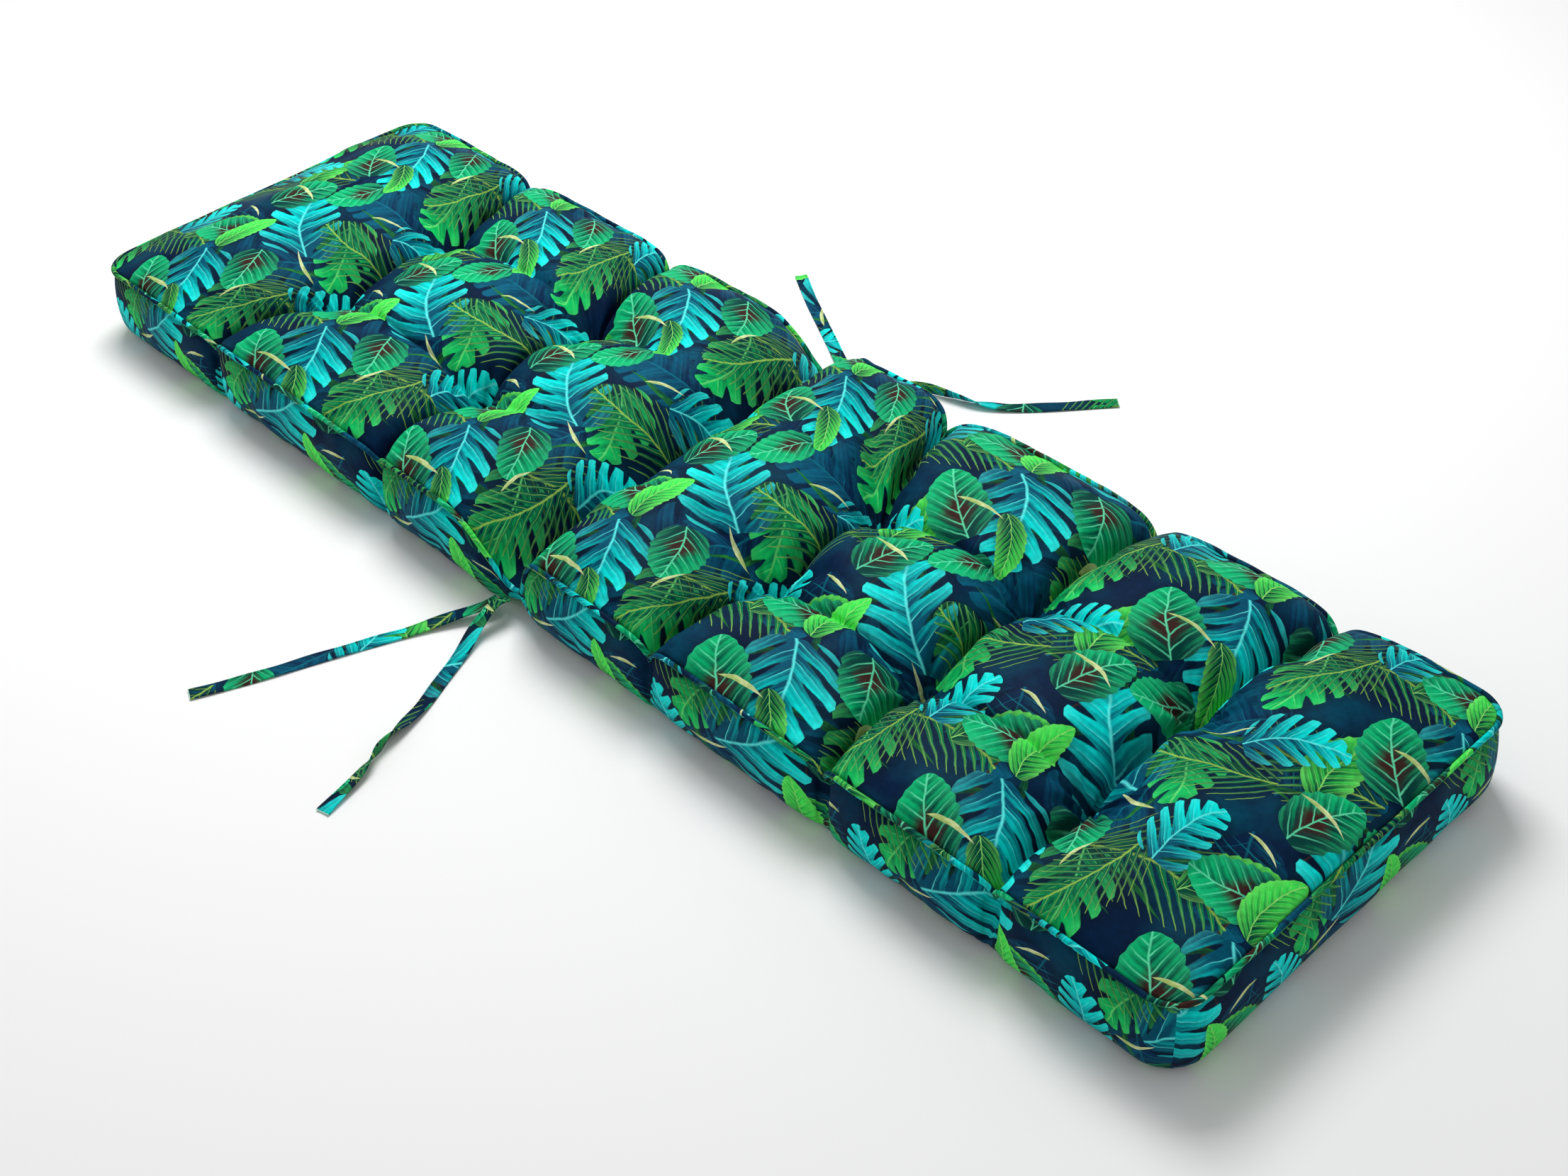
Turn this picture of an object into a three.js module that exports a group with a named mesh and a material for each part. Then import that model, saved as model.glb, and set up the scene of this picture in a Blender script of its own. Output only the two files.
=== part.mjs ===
// A tufted sun lounger cushion: one long filled cover that folds across its middle, its top seam
// trimmed with piping, and two pairs of sewn ties at the ends of the fold.
// Millimetres. +X runs along the cushion, +Y across it, +Z up. The underside lies on z = 0 and the
// origin is under the middle of the fold. The half with x above zero has three rows of tufts.
import * as THREE from "three";

// The cover's size, seam to seam, as it lies
const LENGTH = 1700;
const WIDTH = 492;
const SEAM_HEIGHT = 94;
const CORNER_RADIUS = 34;

// The filling lifts the top panel this far over its seam, and is at its full height this far in
const CROWN = 30;
const CROWN_REACH = 230;

// The threads pull the cover down to about half of its thickness
const PULLED_HEIGHT = 46;
const TUFT_PULL = 0.94;
const TUFT_REACH = 88;

// What crosses the cushion: its two ends, five rows of tufts and the fold. nearTuft and farTuft are
// places across it. valley is how far the cover sinks between two tufts, as a share of the way down to
// the threads. The pinches say how far each long side is drawn in, and the shifts how far along from
// the row that is.
const FOLD_X = -30;
const CROSSINGS = [
  { kind: "end", x: -LENGTH / 2, nearTuft: -98, farTuft: 82, nearShift: 0, farShift: 0 },
  {
    kind: "tufts", x: -560, nearTuft: -98, farTuft: 82, valley: 0.45,
    nearPinch: 13, farPinch: 12, nearShift: -50, farShift: -40,
  },
  {
    kind: "tufts", x: -279, nearTuft: -98, farTuft: 80, valley: 0.4,
    nearPinch: 13, farPinch: 12, nearShift: 4, farShift: -48,
  },
  { kind: "fold", x: FOLD_X, nearTuft: -96, farTuft: 72, nearShift: 0, farShift: 0 },
  {
    kind: "tufts", x: 212, nearTuft: -96, farTuft: 62, valley: 0.4,
    nearPinch: 6, farPinch: 18, nearShift: -26, farShift: -48,
  },
  {
    kind: "tufts", x: 422, nearTuft: -103, farTuft: 62, valley: 0.45,
    nearPinch: 14, farPinch: 12, nearShift: 8, farShift: 20,
  },
  {
    kind: "tufts", x: 636, nearTuft: -103, farTuft: 60, valley: 0.45,
    nearPinch: 14, farPinch: 12, nearShift: 5, farShift: 30,
  },
  { kind: "end", x: LENGTH / 2, nearTuft: -103, farTuft: 60, nearShift: 0, farShift: 0 },
];
const TUFT_ROWS = CROSSINGS.filter((crossing) => crossing.kind === "tufts");
const VALLEY_REACH = 78;
const VALLEY_LEFT_BY_SIDES = 0.7;
const SIDE_PULL_PER_PINCH = 0.019;
const PINCH_REACH = 62;
const PINCH_LEFT_UNDERNEATH = 0.4;

// Soft troughs run along the cushion from tuft to tuft. They fade towards the fold and end soon after
// the outermost tufts, so both end pillows are smooth.
const TROUGH_REACH = 72;
const TROUGHS = [
  { x: -640, pull: 0 },
  { x: -560, pull: 0.3 },
  { x: -279, pull: 0.34 },
  { x: -120, pull: 0.1 },
  { x: FOLD_X, pull: 0.05 },
  { x: 110, pull: 0.12 },
  { x: 212, pull: 0.34 },
  { x: 422, pull: 0.34 },
  { x: 636, pull: 0.3 },
  { x: 720, pull: 0 },
];

// The seam across the middle, where the cushion folds. The cover rises from it gently on one side and
// steeply on the other, its ends sink the furthest, and the underside lifts off the ground there.
const FOLD_REACH_BACK = 100;
const FOLD_REACH_FRONT = 56;
const FOLD_END_DROP = 16;
const FOLD_PINCH = 7;
const GROOVE_HALF_WIDTH = 46;
const GROOVE_HEIGHT_MIDDLE = 10;
const GROOVE_HEIGHT_SIDE = 16;

// One sharp pleat runs from a tuft to the far end of the fold
const PLEAT = { from: [212, 62], to: [10, 232], pull: 0.34, reach: 52 };

// The side panel, from its seam down: how far it stands out from the seam line, and its height as a
// share of the side. The underside begins a little further in.
const SIDE_PROFILE = [
  { out: 7, up: 0.82 },
  { out: 12, up: 0.52 },
  { out: 12, up: 0.24 },
  { out: 7, up: 0.07 },
];
const UNDERSIDE_INSET = 4;

// The piping's middle lies this far from the seam, out and up, as shares of its radius and clearance.
// Where it climbs steeply it lies further out, clear of the side panel.
const PIPING_RADIUS = 3;
const PIPING_SIDES = 6;
const CLEARANCE = 0.9;
const PIPING_OUT = 0.75;
const PIPING_UP = 0.66;
const PIPING_OUT_ON_SLOPES = 0.7;

const TIE_WIDTH = 16;
const TIE_THICKNESS = 1.6;

// Each tie's line, from its root in the seam to its free end on the ground. lift is the height of the
// line above where the strip would lie, and roll turns the strip from flat, 0, to on edge, 90.
const TIES = [
  {
    name: "tie_near_back",
    line: [
      { x: -54, y: -254.8, lift: 13, roll: 10 },
      { x: -56, y: -266, lift: 12, roll: 8 },
      { x: -62, y: -279, lift: 10, roll: 4 },
      { x: -76, y: -304, lift: 6, roll: 0 },
      { x: -99, y: -354, lift: 0, roll: 0 },
      { x: -120, y: -404, lift: 0, roll: 0 },
      { x: -140, y: -455, lift: 0, roll: 0 },
      { x: -159, y: -504, lift: 0, roll: 0 },
      { x: -186, y: -564, lift: 0, roll: 0 },
    ],
  },
  {
    name: "tie_near_front",
    line: [
      { x: -38, y: -252.6, lift: 20, roll: 20 },
      { x: -41, y: -270, lift: 21, roll: 12 },
      { x: -38, y: -297, lift: 11, roll: 0 },
      { x: -25, y: -330, lift: 2, roll: 0 },
      { x: -8, y: -370, lift: 0, roll: 0 },
      { x: 8, y: -406, lift: 0, roll: 5 },
      { x: 21, y: -446, lift: 0, roll: 35 },
      { x: 31, y: -475, lift: 0, roll: 85 },
      { x: 43, y: -508, lift: 0, roll: 30 },
      { x: 57, y: -564, lift: 0, roll: 0 },
    ],
  },
  {
    name: "tie_far_back",
    line: [
      { x: -50, y: 254.7, lift: 15, roll: -12 },
      { x: -60, y: 278, lift: 14, roll: -8 },
      { x: -82, y: 302, lift: 8, roll: 0 },
      { x: -124, y: 329, lift: 1, roll: 0 },
      { x: -178, y: 360, lift: 0, roll: 0 },
      { x: -231, y: 390, lift: 0, roll: 0 },
      { x: -284, y: 423, lift: 0, roll: 0 },
    ],
  },
  {
    name: "tie_far_front",
    line: [
      { x: -28, y: 251.2, lift: 17, roll: -25 },
      { x: -28, y: 276, lift: 12, roll: -60 },
      { x: -22, y: 306, lift: 5, roll: -80 },
      { x: -6, y: 330, lift: 0, roll: -80 },
      { x: 15, y: 343, lift: 0, roll: -80 },
      { x: 41, y: 352, lift: 0, roll: -70 },
      { x: 70, y: 362, lift: 0, roll: -40 },
      { x: 97, y: 378, lift: 0, roll: -10 },
      { x: 128, y: 405, lift: 0, roll: 0 },
      { x: 161, y: 441, lift: 0, roll: 0 },
      { x: 196, y: 481, lift: 0, roll: 0 },
    ],
  },
];
const TIE_STEPS = 26;

// How many faces run along and across each pillow, closer together towards the seams
const COLUMNS_PER_PILLOW = 9;
const ROWS_PER_PILLOW = 7;
const SEAM_CROWDING = 0.55;

const COVER_MATERIAL = new THREE.MeshStandardMaterial({ color: 0x17575c, roughness: 0.7, metalness: 0 });
const PIPING_MATERIAL = new THREE.MeshStandardMaterial({ color: 0x0f6f7c, roughness: 0.7, metalness: 0 });
const TIE_MATERIAL = new THREE.MeshStandardMaterial({ color: 0x1c6a4c, roughness: 0.75, metalness: 0 });

// A quarter circle: steep where it leaves a seam at 0, level from 1 on
function puffed(t) {
  const left = 1 - Math.min(Math.max(t, 0), 1);
  return Math.sqrt(1 - left * left);
}

// What is left of the crown at a distance from a line or a point that pulls the cover down
function leftOver(distance, reach, pull) {
  return 1 - pull * (1 - puffed(distance / reach));
}

// Reads a named column of a table whose rows are sorted by x
function readTable(table, column, x) {
  const next = table.findIndex((row) => row.x >= x);
  if (next === 0) return table[0][column];
  if (next < 0) return table[table.length - 1][column];
  const [low, high] = [table[next - 1], table[next]];
  return THREE.MathUtils.lerp(low[column], high[column], (x - low.x) / (high.x - low.x));
}

function distanceToSegment(x, y, [fromX, fromY], [toX, toY]) {
  const [alongX, alongY] = [toX - fromX, toY - fromY];
  const share = ((x - fromX) * alongX + (y - fromY) * alongY) / (alongX ** 2 + alongY ** 2);
  const kept = Math.min(Math.max(share, 0), 1);
  return Math.hypot(x - fromX - kept * alongX, y - fromY - kept * alongY);
}

// How far a long side is drawn in at x. The side is "nearPinch" or "farPinch".
function drawnIn(x, side) {
  const rows = TUFT_ROWS.map((row) => row[side] * (1 - puffed(Math.abs(x - row.x) / PINCH_REACH)));
  return Math.max(...rows, FOLD_PINCH * (1 - puffed(Math.abs(x - FOLD_X) / PINCH_REACH)));
}

// Height of the top panel over a point of the flat pattern, before it is shaped in plan
function topHeight(x, y) {
  const toEnd = LENGTH / 2 - Math.abs(x);
  const toSide = WIDTH / 2 - Math.abs(y);
  const crown = CROWN * puffed(toEnd / CROWN_REACH) * puffed(toSide / CROWN_REACH);
  let left = 1;
  for (const row of TUFT_ROWS) {
    const between = y > row.nearTuft && y < row.farTuft;
    const sidePull = SIDE_PULL_PER_PINCH * (y < 0 ? row.nearPinch : row.farPinch);
    const outsidePull = Math.max(sidePull, row.valley * VALLEY_LEFT_BY_SIDES);
    left *= leftOver(Math.abs(x - row.x), VALLEY_REACH, between ? row.valley : outsidePull);
    left *= leftOver(Math.hypot(x - row.x, y - row.nearTuft), TUFT_REACH, TUFT_PULL);
    left *= leftOver(Math.hypot(x - row.x, y - row.farTuft), TUFT_REACH, TUFT_PULL);
  }
  const trough = readTable(TROUGHS, "pull", x);
  left *= leftOver(Math.abs(y - readTable(CROSSINGS, "nearTuft", x)), TROUGH_REACH, trough);
  left *= leftOver(Math.abs(y - readTable(CROSSINGS, "farTuft", x)), TROUGH_REACH, trough);
  left *= leftOver(distanceToSegment(x, y, PLEAT.from, PLEAT.to), PLEAT.reach, PLEAT.pull);
  const foldReach = x < FOLD_X ? FOLD_REACH_BACK : FOLD_REACH_FRONT;
  const rise = puffed(Math.abs(x - FOLD_X) / foldReach);
  const pulled = PULLED_HEIGHT - FOLD_END_DROP * (1 - rise) * Math.abs((2 * y) / WIDTH) ** 3;
  return pulled + (SEAM_HEIGHT + crown - pulled) * left * rise;
}

// The underside lies flat but for the groove under the fold
function undersideHeight(x, y) {
  const outwards = (2 * Math.abs(y)) / WIDTH;
  const height = THREE.MathUtils.lerp(GROOVE_HEIGHT_MIDDLE, GROOVE_HEIGHT_SIDE, outwards ** 2);
  const away = Math.min(Math.abs(x - FOLD_X) / GROOVE_HALF_WIDTH, 1);
  return height * (0.5 + 0.5 * Math.cos(Math.PI * away));
}

// Places between the seams of a list, crowded towards each seam
function crowded(seams, perPillow) {
  const places = [seams[0]];
  for (let i = 1; i < seams.length; i += 1) {
    for (let step = 1; step <= perPillow; step += 1) {
      const t = step / perPillow;
      const eased = t - (SEAM_CROWDING * Math.sin(2 * Math.PI * t)) / (2 * Math.PI);
      places.push(THREE.MathUtils.lerp(seams[i - 1], seams[i], eased));
    }
  }
  return places;
}

// Shapes a point of the flat pattern in plan: its row bends towards the sides, the outline's corners
// are round, and the long sides are drawn in. share is how much of the drawing in shows at this level.
function shapedInPlan(x, y, share) {
  const isNear = y < 0;
  const tuft = readTable(CROSSINGS, isNear ? "nearTuft" : "farTuft", x);
  const outside = Math.max((y - tuft) / ((isNear ? -WIDTH : WIDTH) / 2 - tuft), 0);
  const along = x + outside * readTable(CROSSINGS, isNear ? "nearShift" : "farShift", x);
  const cornerX = (Math.abs(along) - LENGTH / 2 + CORNER_RADIUS) / CORNER_RADIUS;
  const cornerY = (Math.abs(y) - WIDTH / 2 + CORNER_RADIUS) / CORNER_RADIUS;
  let [planX, planY] = [Math.abs(along), Math.abs(y)];
  if (cornerX > 0 && cornerY > 0) {
    planX = LENGTH / 2 - CORNER_RADIUS + CORNER_RADIUS * cornerX * Math.sqrt(1 - cornerY ** 2 / 2);
    planY = WIDTH / 2 - CORNER_RADIUS + CORNER_RADIUS * cornerY * Math.sqrt(1 - cornerX ** 2 / 2);
  }
  const pinch = share * drawnIn(x, isNear ? "nearPinch" : "farPinch");
  planY -= (pinch * planY) / (WIDTH / 2);
  return new THREE.Vector2(Math.sign(along) * planX, Math.sign(y) * planY);
}

// One grid of points for both panels: columns along x, rows across
function panelGrid() {
  const columns = crowded(CROSSINGS.map((crossing) => crossing.x), COLUMNS_PER_PILLOW);
  return columns.map((x) => {
    const tufts = ["nearTuft", "farTuft"].map((column) => readTable(CROSSINGS, column, x));
    return crowded([-WIDTH / 2, ...tufts, WIDTH / 2], ROWS_PER_PILLOW).map((y) => ({
      plan: shapedInPlan(x, y, 1),
      underPlan: shapedInPlan(x, y, PINCH_LEFT_UNDERNEATH),
      top: topHeight(x, y),
      under: undersideHeight(x, y),
    }));
  });
}

// The grid's rim, anticlockwise from above
function rimOf(grid) {
  const [last, across] = [grid.length - 1, grid[0].length - 1];
  const near = grid.slice(0, last).map((column) => column[0]);
  const front = grid[last].slice(0, across);
  const far = grid.slice(1).map((column) => column[across]).reverse();
  const back = grid[0].slice(1).reverse();
  return [...near, ...front, ...far, ...back];
}

// The way out from the rim at each of its points, level
function waysOut(rim) {
  return rim.map((point, i) => {
    const before = rim[(i + rim.length - 1) % rim.length];
    const after = rim[(i + 1) % rim.length];
    return new THREE.Vector2(after.plan.y - before.plan.y, before.plan.x - after.plan.x).normalize();
  });
}

// Collects points and triangles, and gives them as a closed geometry
class Skin {
  constructor() {
    this.points = [];
    this.triangles = [];
  }

  add(x, y, z) {
    return this.points.push(x, y, z) / 3 - 1;
  }

  quad(a, b, c, d) {
    this.triangles.push(a, b, c, a, c, d);
  }

  // Joins one ring of points to the next, both anticlockwise seen from the first ring's outer side
  band(first, second) {
    first.forEach((corner, i) => {
      const next = (i + 1) % first.length;
      this.quad(corner, second[i], second[next], first[next]);
    });
  }

  geometry() {
    const geometry = new THREE.BufferGeometry();
    geometry.setAttribute("position", new THREE.Float32BufferAttribute(this.points, 3));
    geometry.setIndex(this.triangles);
    geometry.computeVertexNormals();
    return geometry;
  }
}

function cushionGeometry(grid, rim) {
  const skin = new Skin();
  const shrinkX = 1 - UNDERSIDE_INSET / (LENGTH / 2);
  const shrinkY = 1 - UNDERSIDE_INSET / (WIDTH / 2);
  const numbers = new Map();
  grid.forEach((column) =>
    column.forEach((point) => {
      numbers.set(point, {
        top: skin.add(point.plan.x, point.plan.y, point.top),
        under: skin.add(point.underPlan.x * shrinkX, point.underPlan.y * shrinkY, point.under),
      });
    }),
  );
  for (let i = 1; i < grid.length; i += 1) {
    for (let j = 1; j < grid[i].length; j += 1) {
      const corners = [grid[i - 1][j - 1], grid[i][j - 1], grid[i][j], grid[i - 1][j]];
      const [a, b, c, d] = corners.map((point) => numbers.get(point));
      skin.quad(a.top, b.top, c.top, d.top);
      skin.quad(d.under, c.under, b.under, a.under);
    }
  }
  const outwards = waysOut(rim);
  const rings = SIDE_PROFILE.map(({ out, up }) =>
    rim.map((point, i) => {
      const thickness = point.top - point.under;
      const stand = (out * thickness) / SEAM_HEIGHT;
      const place = point.underPlan.clone().lerp(point.plan, up).addScaledVector(outwards[i], stand);
      return skin.add(place.x, place.y, point.under + up * thickness);
    }),
  );
  const levels = [
    rim.map((point) => numbers.get(point).top),
    ...rings,
    rim.map((point) => numbers.get(point).under),
  ];
  for (let k = 1; k < levels.length; k += 1) skin.band(levels[k - 1], levels[k]);
  return skin.geometry();
}

// Sweeps a section along a line of frames. Each frame is {centre, side, lift}.
function sweep(section, frames, isLoop) {
  const skin = new Skin();
  const rings = frames.map(({ centre, side, lift }) =>
    section.map(([across, up]) => {
      const point = centre.clone().addScaledVector(side, across).addScaledVector(lift, up);
      return skin.add(point.x, point.y, point.z);
    }),
  );
  for (let k = 1; k < rings.length; k += 1) skin.band(rings[k - 1], rings[k]);
  if (isLoop) {
    skin.band(rings[rings.length - 1], rings[0]);
    return skin.geometry();
  }
  const last = rings[rings.length - 1];
  for (let i = 2; i < section.length; i += 1) {
    skin.triangles.push(rings[0][0], rings[0][i - 1], rings[0][i]);
    skin.triangles.push(last[0], last[i], last[i - 1]);
  }
  return skin.geometry();
}

// A section's points, anticlockwise seen along the way that it is swept
function roundSection(radius, sides) {
  return Array.from({ length: sides }, (_, i) => {
    const angle = (2 * Math.PI * i) / sides;
    return [radius * Math.cos(angle), radius * Math.sin(angle)];
  });
}

function flatSection(width, thickness) {
  const [w, t] = [width / 2, thickness / 2];
  return [[w, 0], [w - t, t], [0, t], [t - w, t], [-w, 0], [t - w, -t], [0, -t], [w - t, -t]];
}

const UP = new THREE.Vector3(0, 0, 1);

// The piping sits outside the seam, on the corner between the top panel and the side panel
function pipingGeometry(rim) {
  const stand = PIPING_RADIUS + CLEARANCE;
  const seam = rim.map((point) => new THREE.Vector3(point.plan.x, point.plan.y, point.top));
  const frames = seam.map((point, i) => {
    const before = seam[(i + seam.length - 1) % seam.length];
    const after = seam[(i + 1) % seam.length];
    const along = after.clone().sub(before).normalize();
    const side = along.clone().cross(UP).normalize();
    const lift = side.clone().cross(along);
    const out = PIPING_OUT + PIPING_OUT_ON_SLOPES * Math.abs(along.z);
    const centre = point.clone().addScaledVector(side, stand * out).addScaledVector(lift, stand * PIPING_UP);
    return { centre, side, lift };
  });
  return sweep(roundSection(PIPING_RADIUS, PIPING_SIDES), frames, true);
}

function tieGeometry(line) {
  const curve = new THREE.CatmullRomCurve3(line.map(({ x, y, lift }) => new THREE.Vector3(x, y, lift)));
  const frames = Array.from({ length: TIE_STEPS + 1 }, (_, step) => {
    const t = step / TIE_STEPS;
    const before = Math.min(Math.floor(t * (line.length - 1)), line.length - 2);
    const share = t * (line.length - 1) - before;
    const turn = THREE.MathUtils.lerp(line[before].roll, line[before + 1].roll, share);
    const roll = THREE.MathUtils.degToRad(turn);
    const along = curve.getTangent(t);
    const level = along.clone().cross(UP).normalize();
    const side = level.clone().applyAxisAngle(along, roll);
    const halfHeight = (TIE_WIDTH * Math.abs(Math.sin(roll)) + TIE_THICKNESS * Math.abs(Math.cos(roll))) / 2;
    const centre = curve.getPoint(t);
    centre.z = Math.max(centre.z, 0) + halfHeight;
    return { centre, side, lift: side.clone().cross(along) };
  });
  return sweep(flatSection(TIE_WIDTH, TIE_THICKNESS), frames, false);
}

function named(name, geometry, material) {
  const mesh = new THREE.Mesh(geometry, material);
  mesh.name = name;
  return mesh;
}

const grid = panelGrid();
const rim = rimOf(grid);
const cushion = new THREE.Group();
cushion.add(named("filled_cushion", cushionGeometry(grid, rim), COVER_MATERIAL));
cushion.add(named("top_piping", pipingGeometry(rim), PIPING_MATERIAL));
for (const tie of TIES) cushion.add(named(tie.name, tieGeometry(tie.line), TIE_MATERIAL));

export default cushion;
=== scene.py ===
# %% [markdown]
# A tufted sun lounger cushion
#
# The object is one long filled cushion that folds across its middle. It has a top seam trimmed with
# piping, five rows of tufts and two pairs of sewn ties. This lesson builds it around a fixed frame of
# plain solids: each solid is replaced by a finished piece that lies in the same place.

# %% Load the frame
import math
from collections import namedtuple
from functools import partial

import bpy
import numpy as np
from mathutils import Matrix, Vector


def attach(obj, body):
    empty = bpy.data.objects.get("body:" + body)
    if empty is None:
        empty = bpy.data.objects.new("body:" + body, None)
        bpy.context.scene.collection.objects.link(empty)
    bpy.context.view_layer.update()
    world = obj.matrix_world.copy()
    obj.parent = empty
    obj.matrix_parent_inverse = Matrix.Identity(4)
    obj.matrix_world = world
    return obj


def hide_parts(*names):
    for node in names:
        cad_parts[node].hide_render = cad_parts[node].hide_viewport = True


RANDOM_SEED = 7

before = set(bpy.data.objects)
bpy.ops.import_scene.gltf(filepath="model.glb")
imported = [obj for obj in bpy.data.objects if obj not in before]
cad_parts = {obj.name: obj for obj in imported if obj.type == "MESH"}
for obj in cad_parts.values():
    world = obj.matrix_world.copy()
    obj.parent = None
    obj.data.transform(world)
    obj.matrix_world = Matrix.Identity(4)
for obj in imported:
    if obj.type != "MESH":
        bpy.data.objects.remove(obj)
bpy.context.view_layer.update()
rng = np.random.default_rng(RANDOM_SEED)
print("nodes in the frame:", sorted(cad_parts))

# %% [markdown]
# The camera stands at the front right corner and looks down along the cushion. Its place and its lens
# were worked out from the object's own edges, so the render has the picture's perspective.

# %% Place the camera
CAMERA_PLACE = (1.4709, -1.1983, 1.5251)
CAMERA_TURN = (49.23, 2.73, 46.05)
CAMERA_LENS = 49.66

bpy.ops.object.camera_add(location=CAMERA_PLACE, rotation=[math.radians(turn) for turn in CAMERA_TURN])
camera = bpy.context.object
camera.name = "camera"
camera.data.lens = CAMERA_LENS
bpy.context.scene.camera = camera
print("the camera stands", round(math.hypot(*CAMERA_PLACE), 2), "m from the middle")

# %% [markdown]
# Small helpers come first. Every operator acts on what is selected, so one helper clears the selection
# and picks one piece, and others apply a modifier or select a part of the mesh. Vertices are read and
# written as one array. A new grid reaches from -1 to 1, so a place on it gives the number of its line.

# %% Helpers for picking, reading and writing
TOLERANCE = 1e-4


def pick(piece):
    bpy.ops.object.select_all(action="DESELECT")
    piece.select_set(True)
    bpy.context.view_layer.objects.active = piece


def apply_modifier(piece, kind, **settings):
    pick(piece)
    modifier = piece.modifiers.new(kind.lower(), kind)
    for name, value in settings.items():
        setattr(modifier, name, value)
    bpy.ops.object.modifier_apply(modifier=modifier.name)


def edit_selected(piece, parts, is_chosen):
    """Goes into edit mode with only the chosen vertices or edges selected."""
    pick(piece)
    bpy.ops.object.mode_set(mode="EDIT")
    bpy.ops.mesh.select_mode(type={"vertices": "VERT", "edges": "EDGE"}[parts])
    bpy.ops.mesh.select_all(action="DESELECT")
    bpy.ops.object.mode_set(mode="OBJECT")
    getattr(piece.data, parts).foreach_set("select", is_chosen)
    bpy.ops.object.mode_set(mode="EDIT")


def add_grid(name, cells_along, cells_across):
    """A new flat grid without a UV map, and the places of its vertices."""
    bpy.ops.object.select_all(action="DESELECT")
    bpy.ops.mesh.primitive_grid_add(x_subdivisions=cells_along, y_subdivisions=cells_across, size=2)
    grid = bpy.context.object
    grid.name = name
    for layer in list(grid.data.uv_layers):
        grid.data.uv_layers.remove(layer)
    return grid, places(grid)


def line_number(place, cells):
    return np.rint((place + 1) / 2 * cells).astype(int)


def places(piece):
    found = np.empty(len(piece.data.vertices) * 3)
    piece.data.vertices.foreach_get("co", found)
    return found.reshape(-1, 3)


def put(piece, points):
    piece.data.vertices.foreach_set("co", np.asarray(points, np.float32).ravel())
    piece.data.update()


def corners(piece):
    """The vertex that each corner of each face uses."""
    found = np.empty(len(piece.data.loops), np.int32)
    piece.data.loops.foreach_get("vertex_index", found)
    return found


def set_map(piece, per_corner, name="cloth"):
    """Writes a UV map. The one named cloth says where each corner lies on the flat cloth, in metres."""
    layers = piece.data.uv_layers
    layer = layers.get(name) or layers.new(name=name)
    layer.data.foreach_set("uv", np.asarray(per_corner, np.float32).ravel())


def unit(vectors):
    return vectors / np.linalg.norm(vectors, axis=1, keepdims=True)


def reached_along(line):
    """How far along a line each of its points is."""
    return np.concatenate([[0], np.cumsum(np.linalg.norm(np.diff(line, axis=0), axis=1))])


# %% [markdown]
# The ties are flat strips, folded over and stitched along one edge, then cut to length. On this piece
# they lie loose on the ground, so each one is a route from its root in the seam to its free end. Each
# point of a route has x, y, lift and roll. lift is the height of the line above where the strip would
# lie, and roll turns the strip from flat, 0, to on edge, 90. A grid is laid along the route row by row,
# and Solidify gives it its thickness.

# %% The ties' routes
TIE_WIDTH = 0.016
TIE_THICKNESS = 0.0016
TIE_ROUTES = {
    "tie_near_back": [
        (-0.054, -0.2548, 0.013, 10), (-0.056, -0.266, 0.012, 8), (-0.062, -0.279, 0.010, 4),
        (-0.076, -0.304, 0.006, 0), (-0.099, -0.354, 0, 0), (-0.120, -0.404, 0, 0),
        (-0.140, -0.455, 0, 0), (-0.159, -0.504, 0, 0), (-0.186, -0.564, 0, 0),
    ],
    "tie_near_front": [
        (-0.038, -0.2526, 0.020, 20), (-0.041, -0.270, 0.021, 12), (-0.038, -0.297, 0.011, 0),
        (-0.025, -0.330, 0.002, 0), (-0.008, -0.370, 0, 0), (0.008, -0.406, 0, 5),
        (0.021, -0.446, 0, 35), (0.031, -0.475, 0, 85), (0.043, -0.508, 0, 30),
        (0.057, -0.564, 0, 0),
    ],
    "tie_far_back": [
        (-0.050, 0.2547, 0.015, -12), (-0.060, 0.278, 0.014, -8), (-0.082, 0.302, 0.008, 0),
        (-0.124, 0.329, 0.001, 0), (-0.178, 0.360, 0, 0), (-0.231, 0.390, 0, 0),
        (-0.284, 0.423, 0, 0),
    ],
    "tie_far_front": [
        (-0.028, 0.2512, 0.017, -25), (-0.028, 0.276, 0.012, -60), (-0.022, 0.306, 0.005, -80),
        (-0.006, 0.330, 0, -80), (0.015, 0.343, 0, -80), (0.041, 0.352, 0, -70),
        (0.070, 0.362, 0, -40), (0.097, 0.378, 0, -10), (0.128, 0.405, 0, 0),
        (0.161, 0.441, 0, 0), (0.196, 0.481, 0, 0),
    ],
}


def smooth_route(route, steps):
    """Points and rolls along a smooth curve through the route's points."""
    table = np.array(route, float)
    padded = np.vstack([2 * table[0] - table[1], table, 2 * table[-1] - table[-2]])
    t = np.linspace(0, len(table) - 1, steps)
    first = np.minimum(t.astype(int), len(table) - 2)
    s = (t - first)[:, None]
    a, b, c, d = (padded[first + k] for k in range(4))
    return 0.5 * (2 * b + (c - a) * s + (2 * a - 5 * b + 4 * c - d) * s**2 + (3 * b - a - 3 * c + d) * s**3)


# %% Lay a strip along each route
TIE_CELLS_ALONG = 150
TIE_CELLS_ACROSS = 6
TIE_CUPPING = 0.0007
TIE_FINE_WAVE = 0.0006
TIE_WAVES_PER_METRE = 90
TIE_WAVE_SLANT = 2
TIE_WAVE_BY_ROLL = 3
TIE_EDGE_ROUNDING = 0.0004


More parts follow.
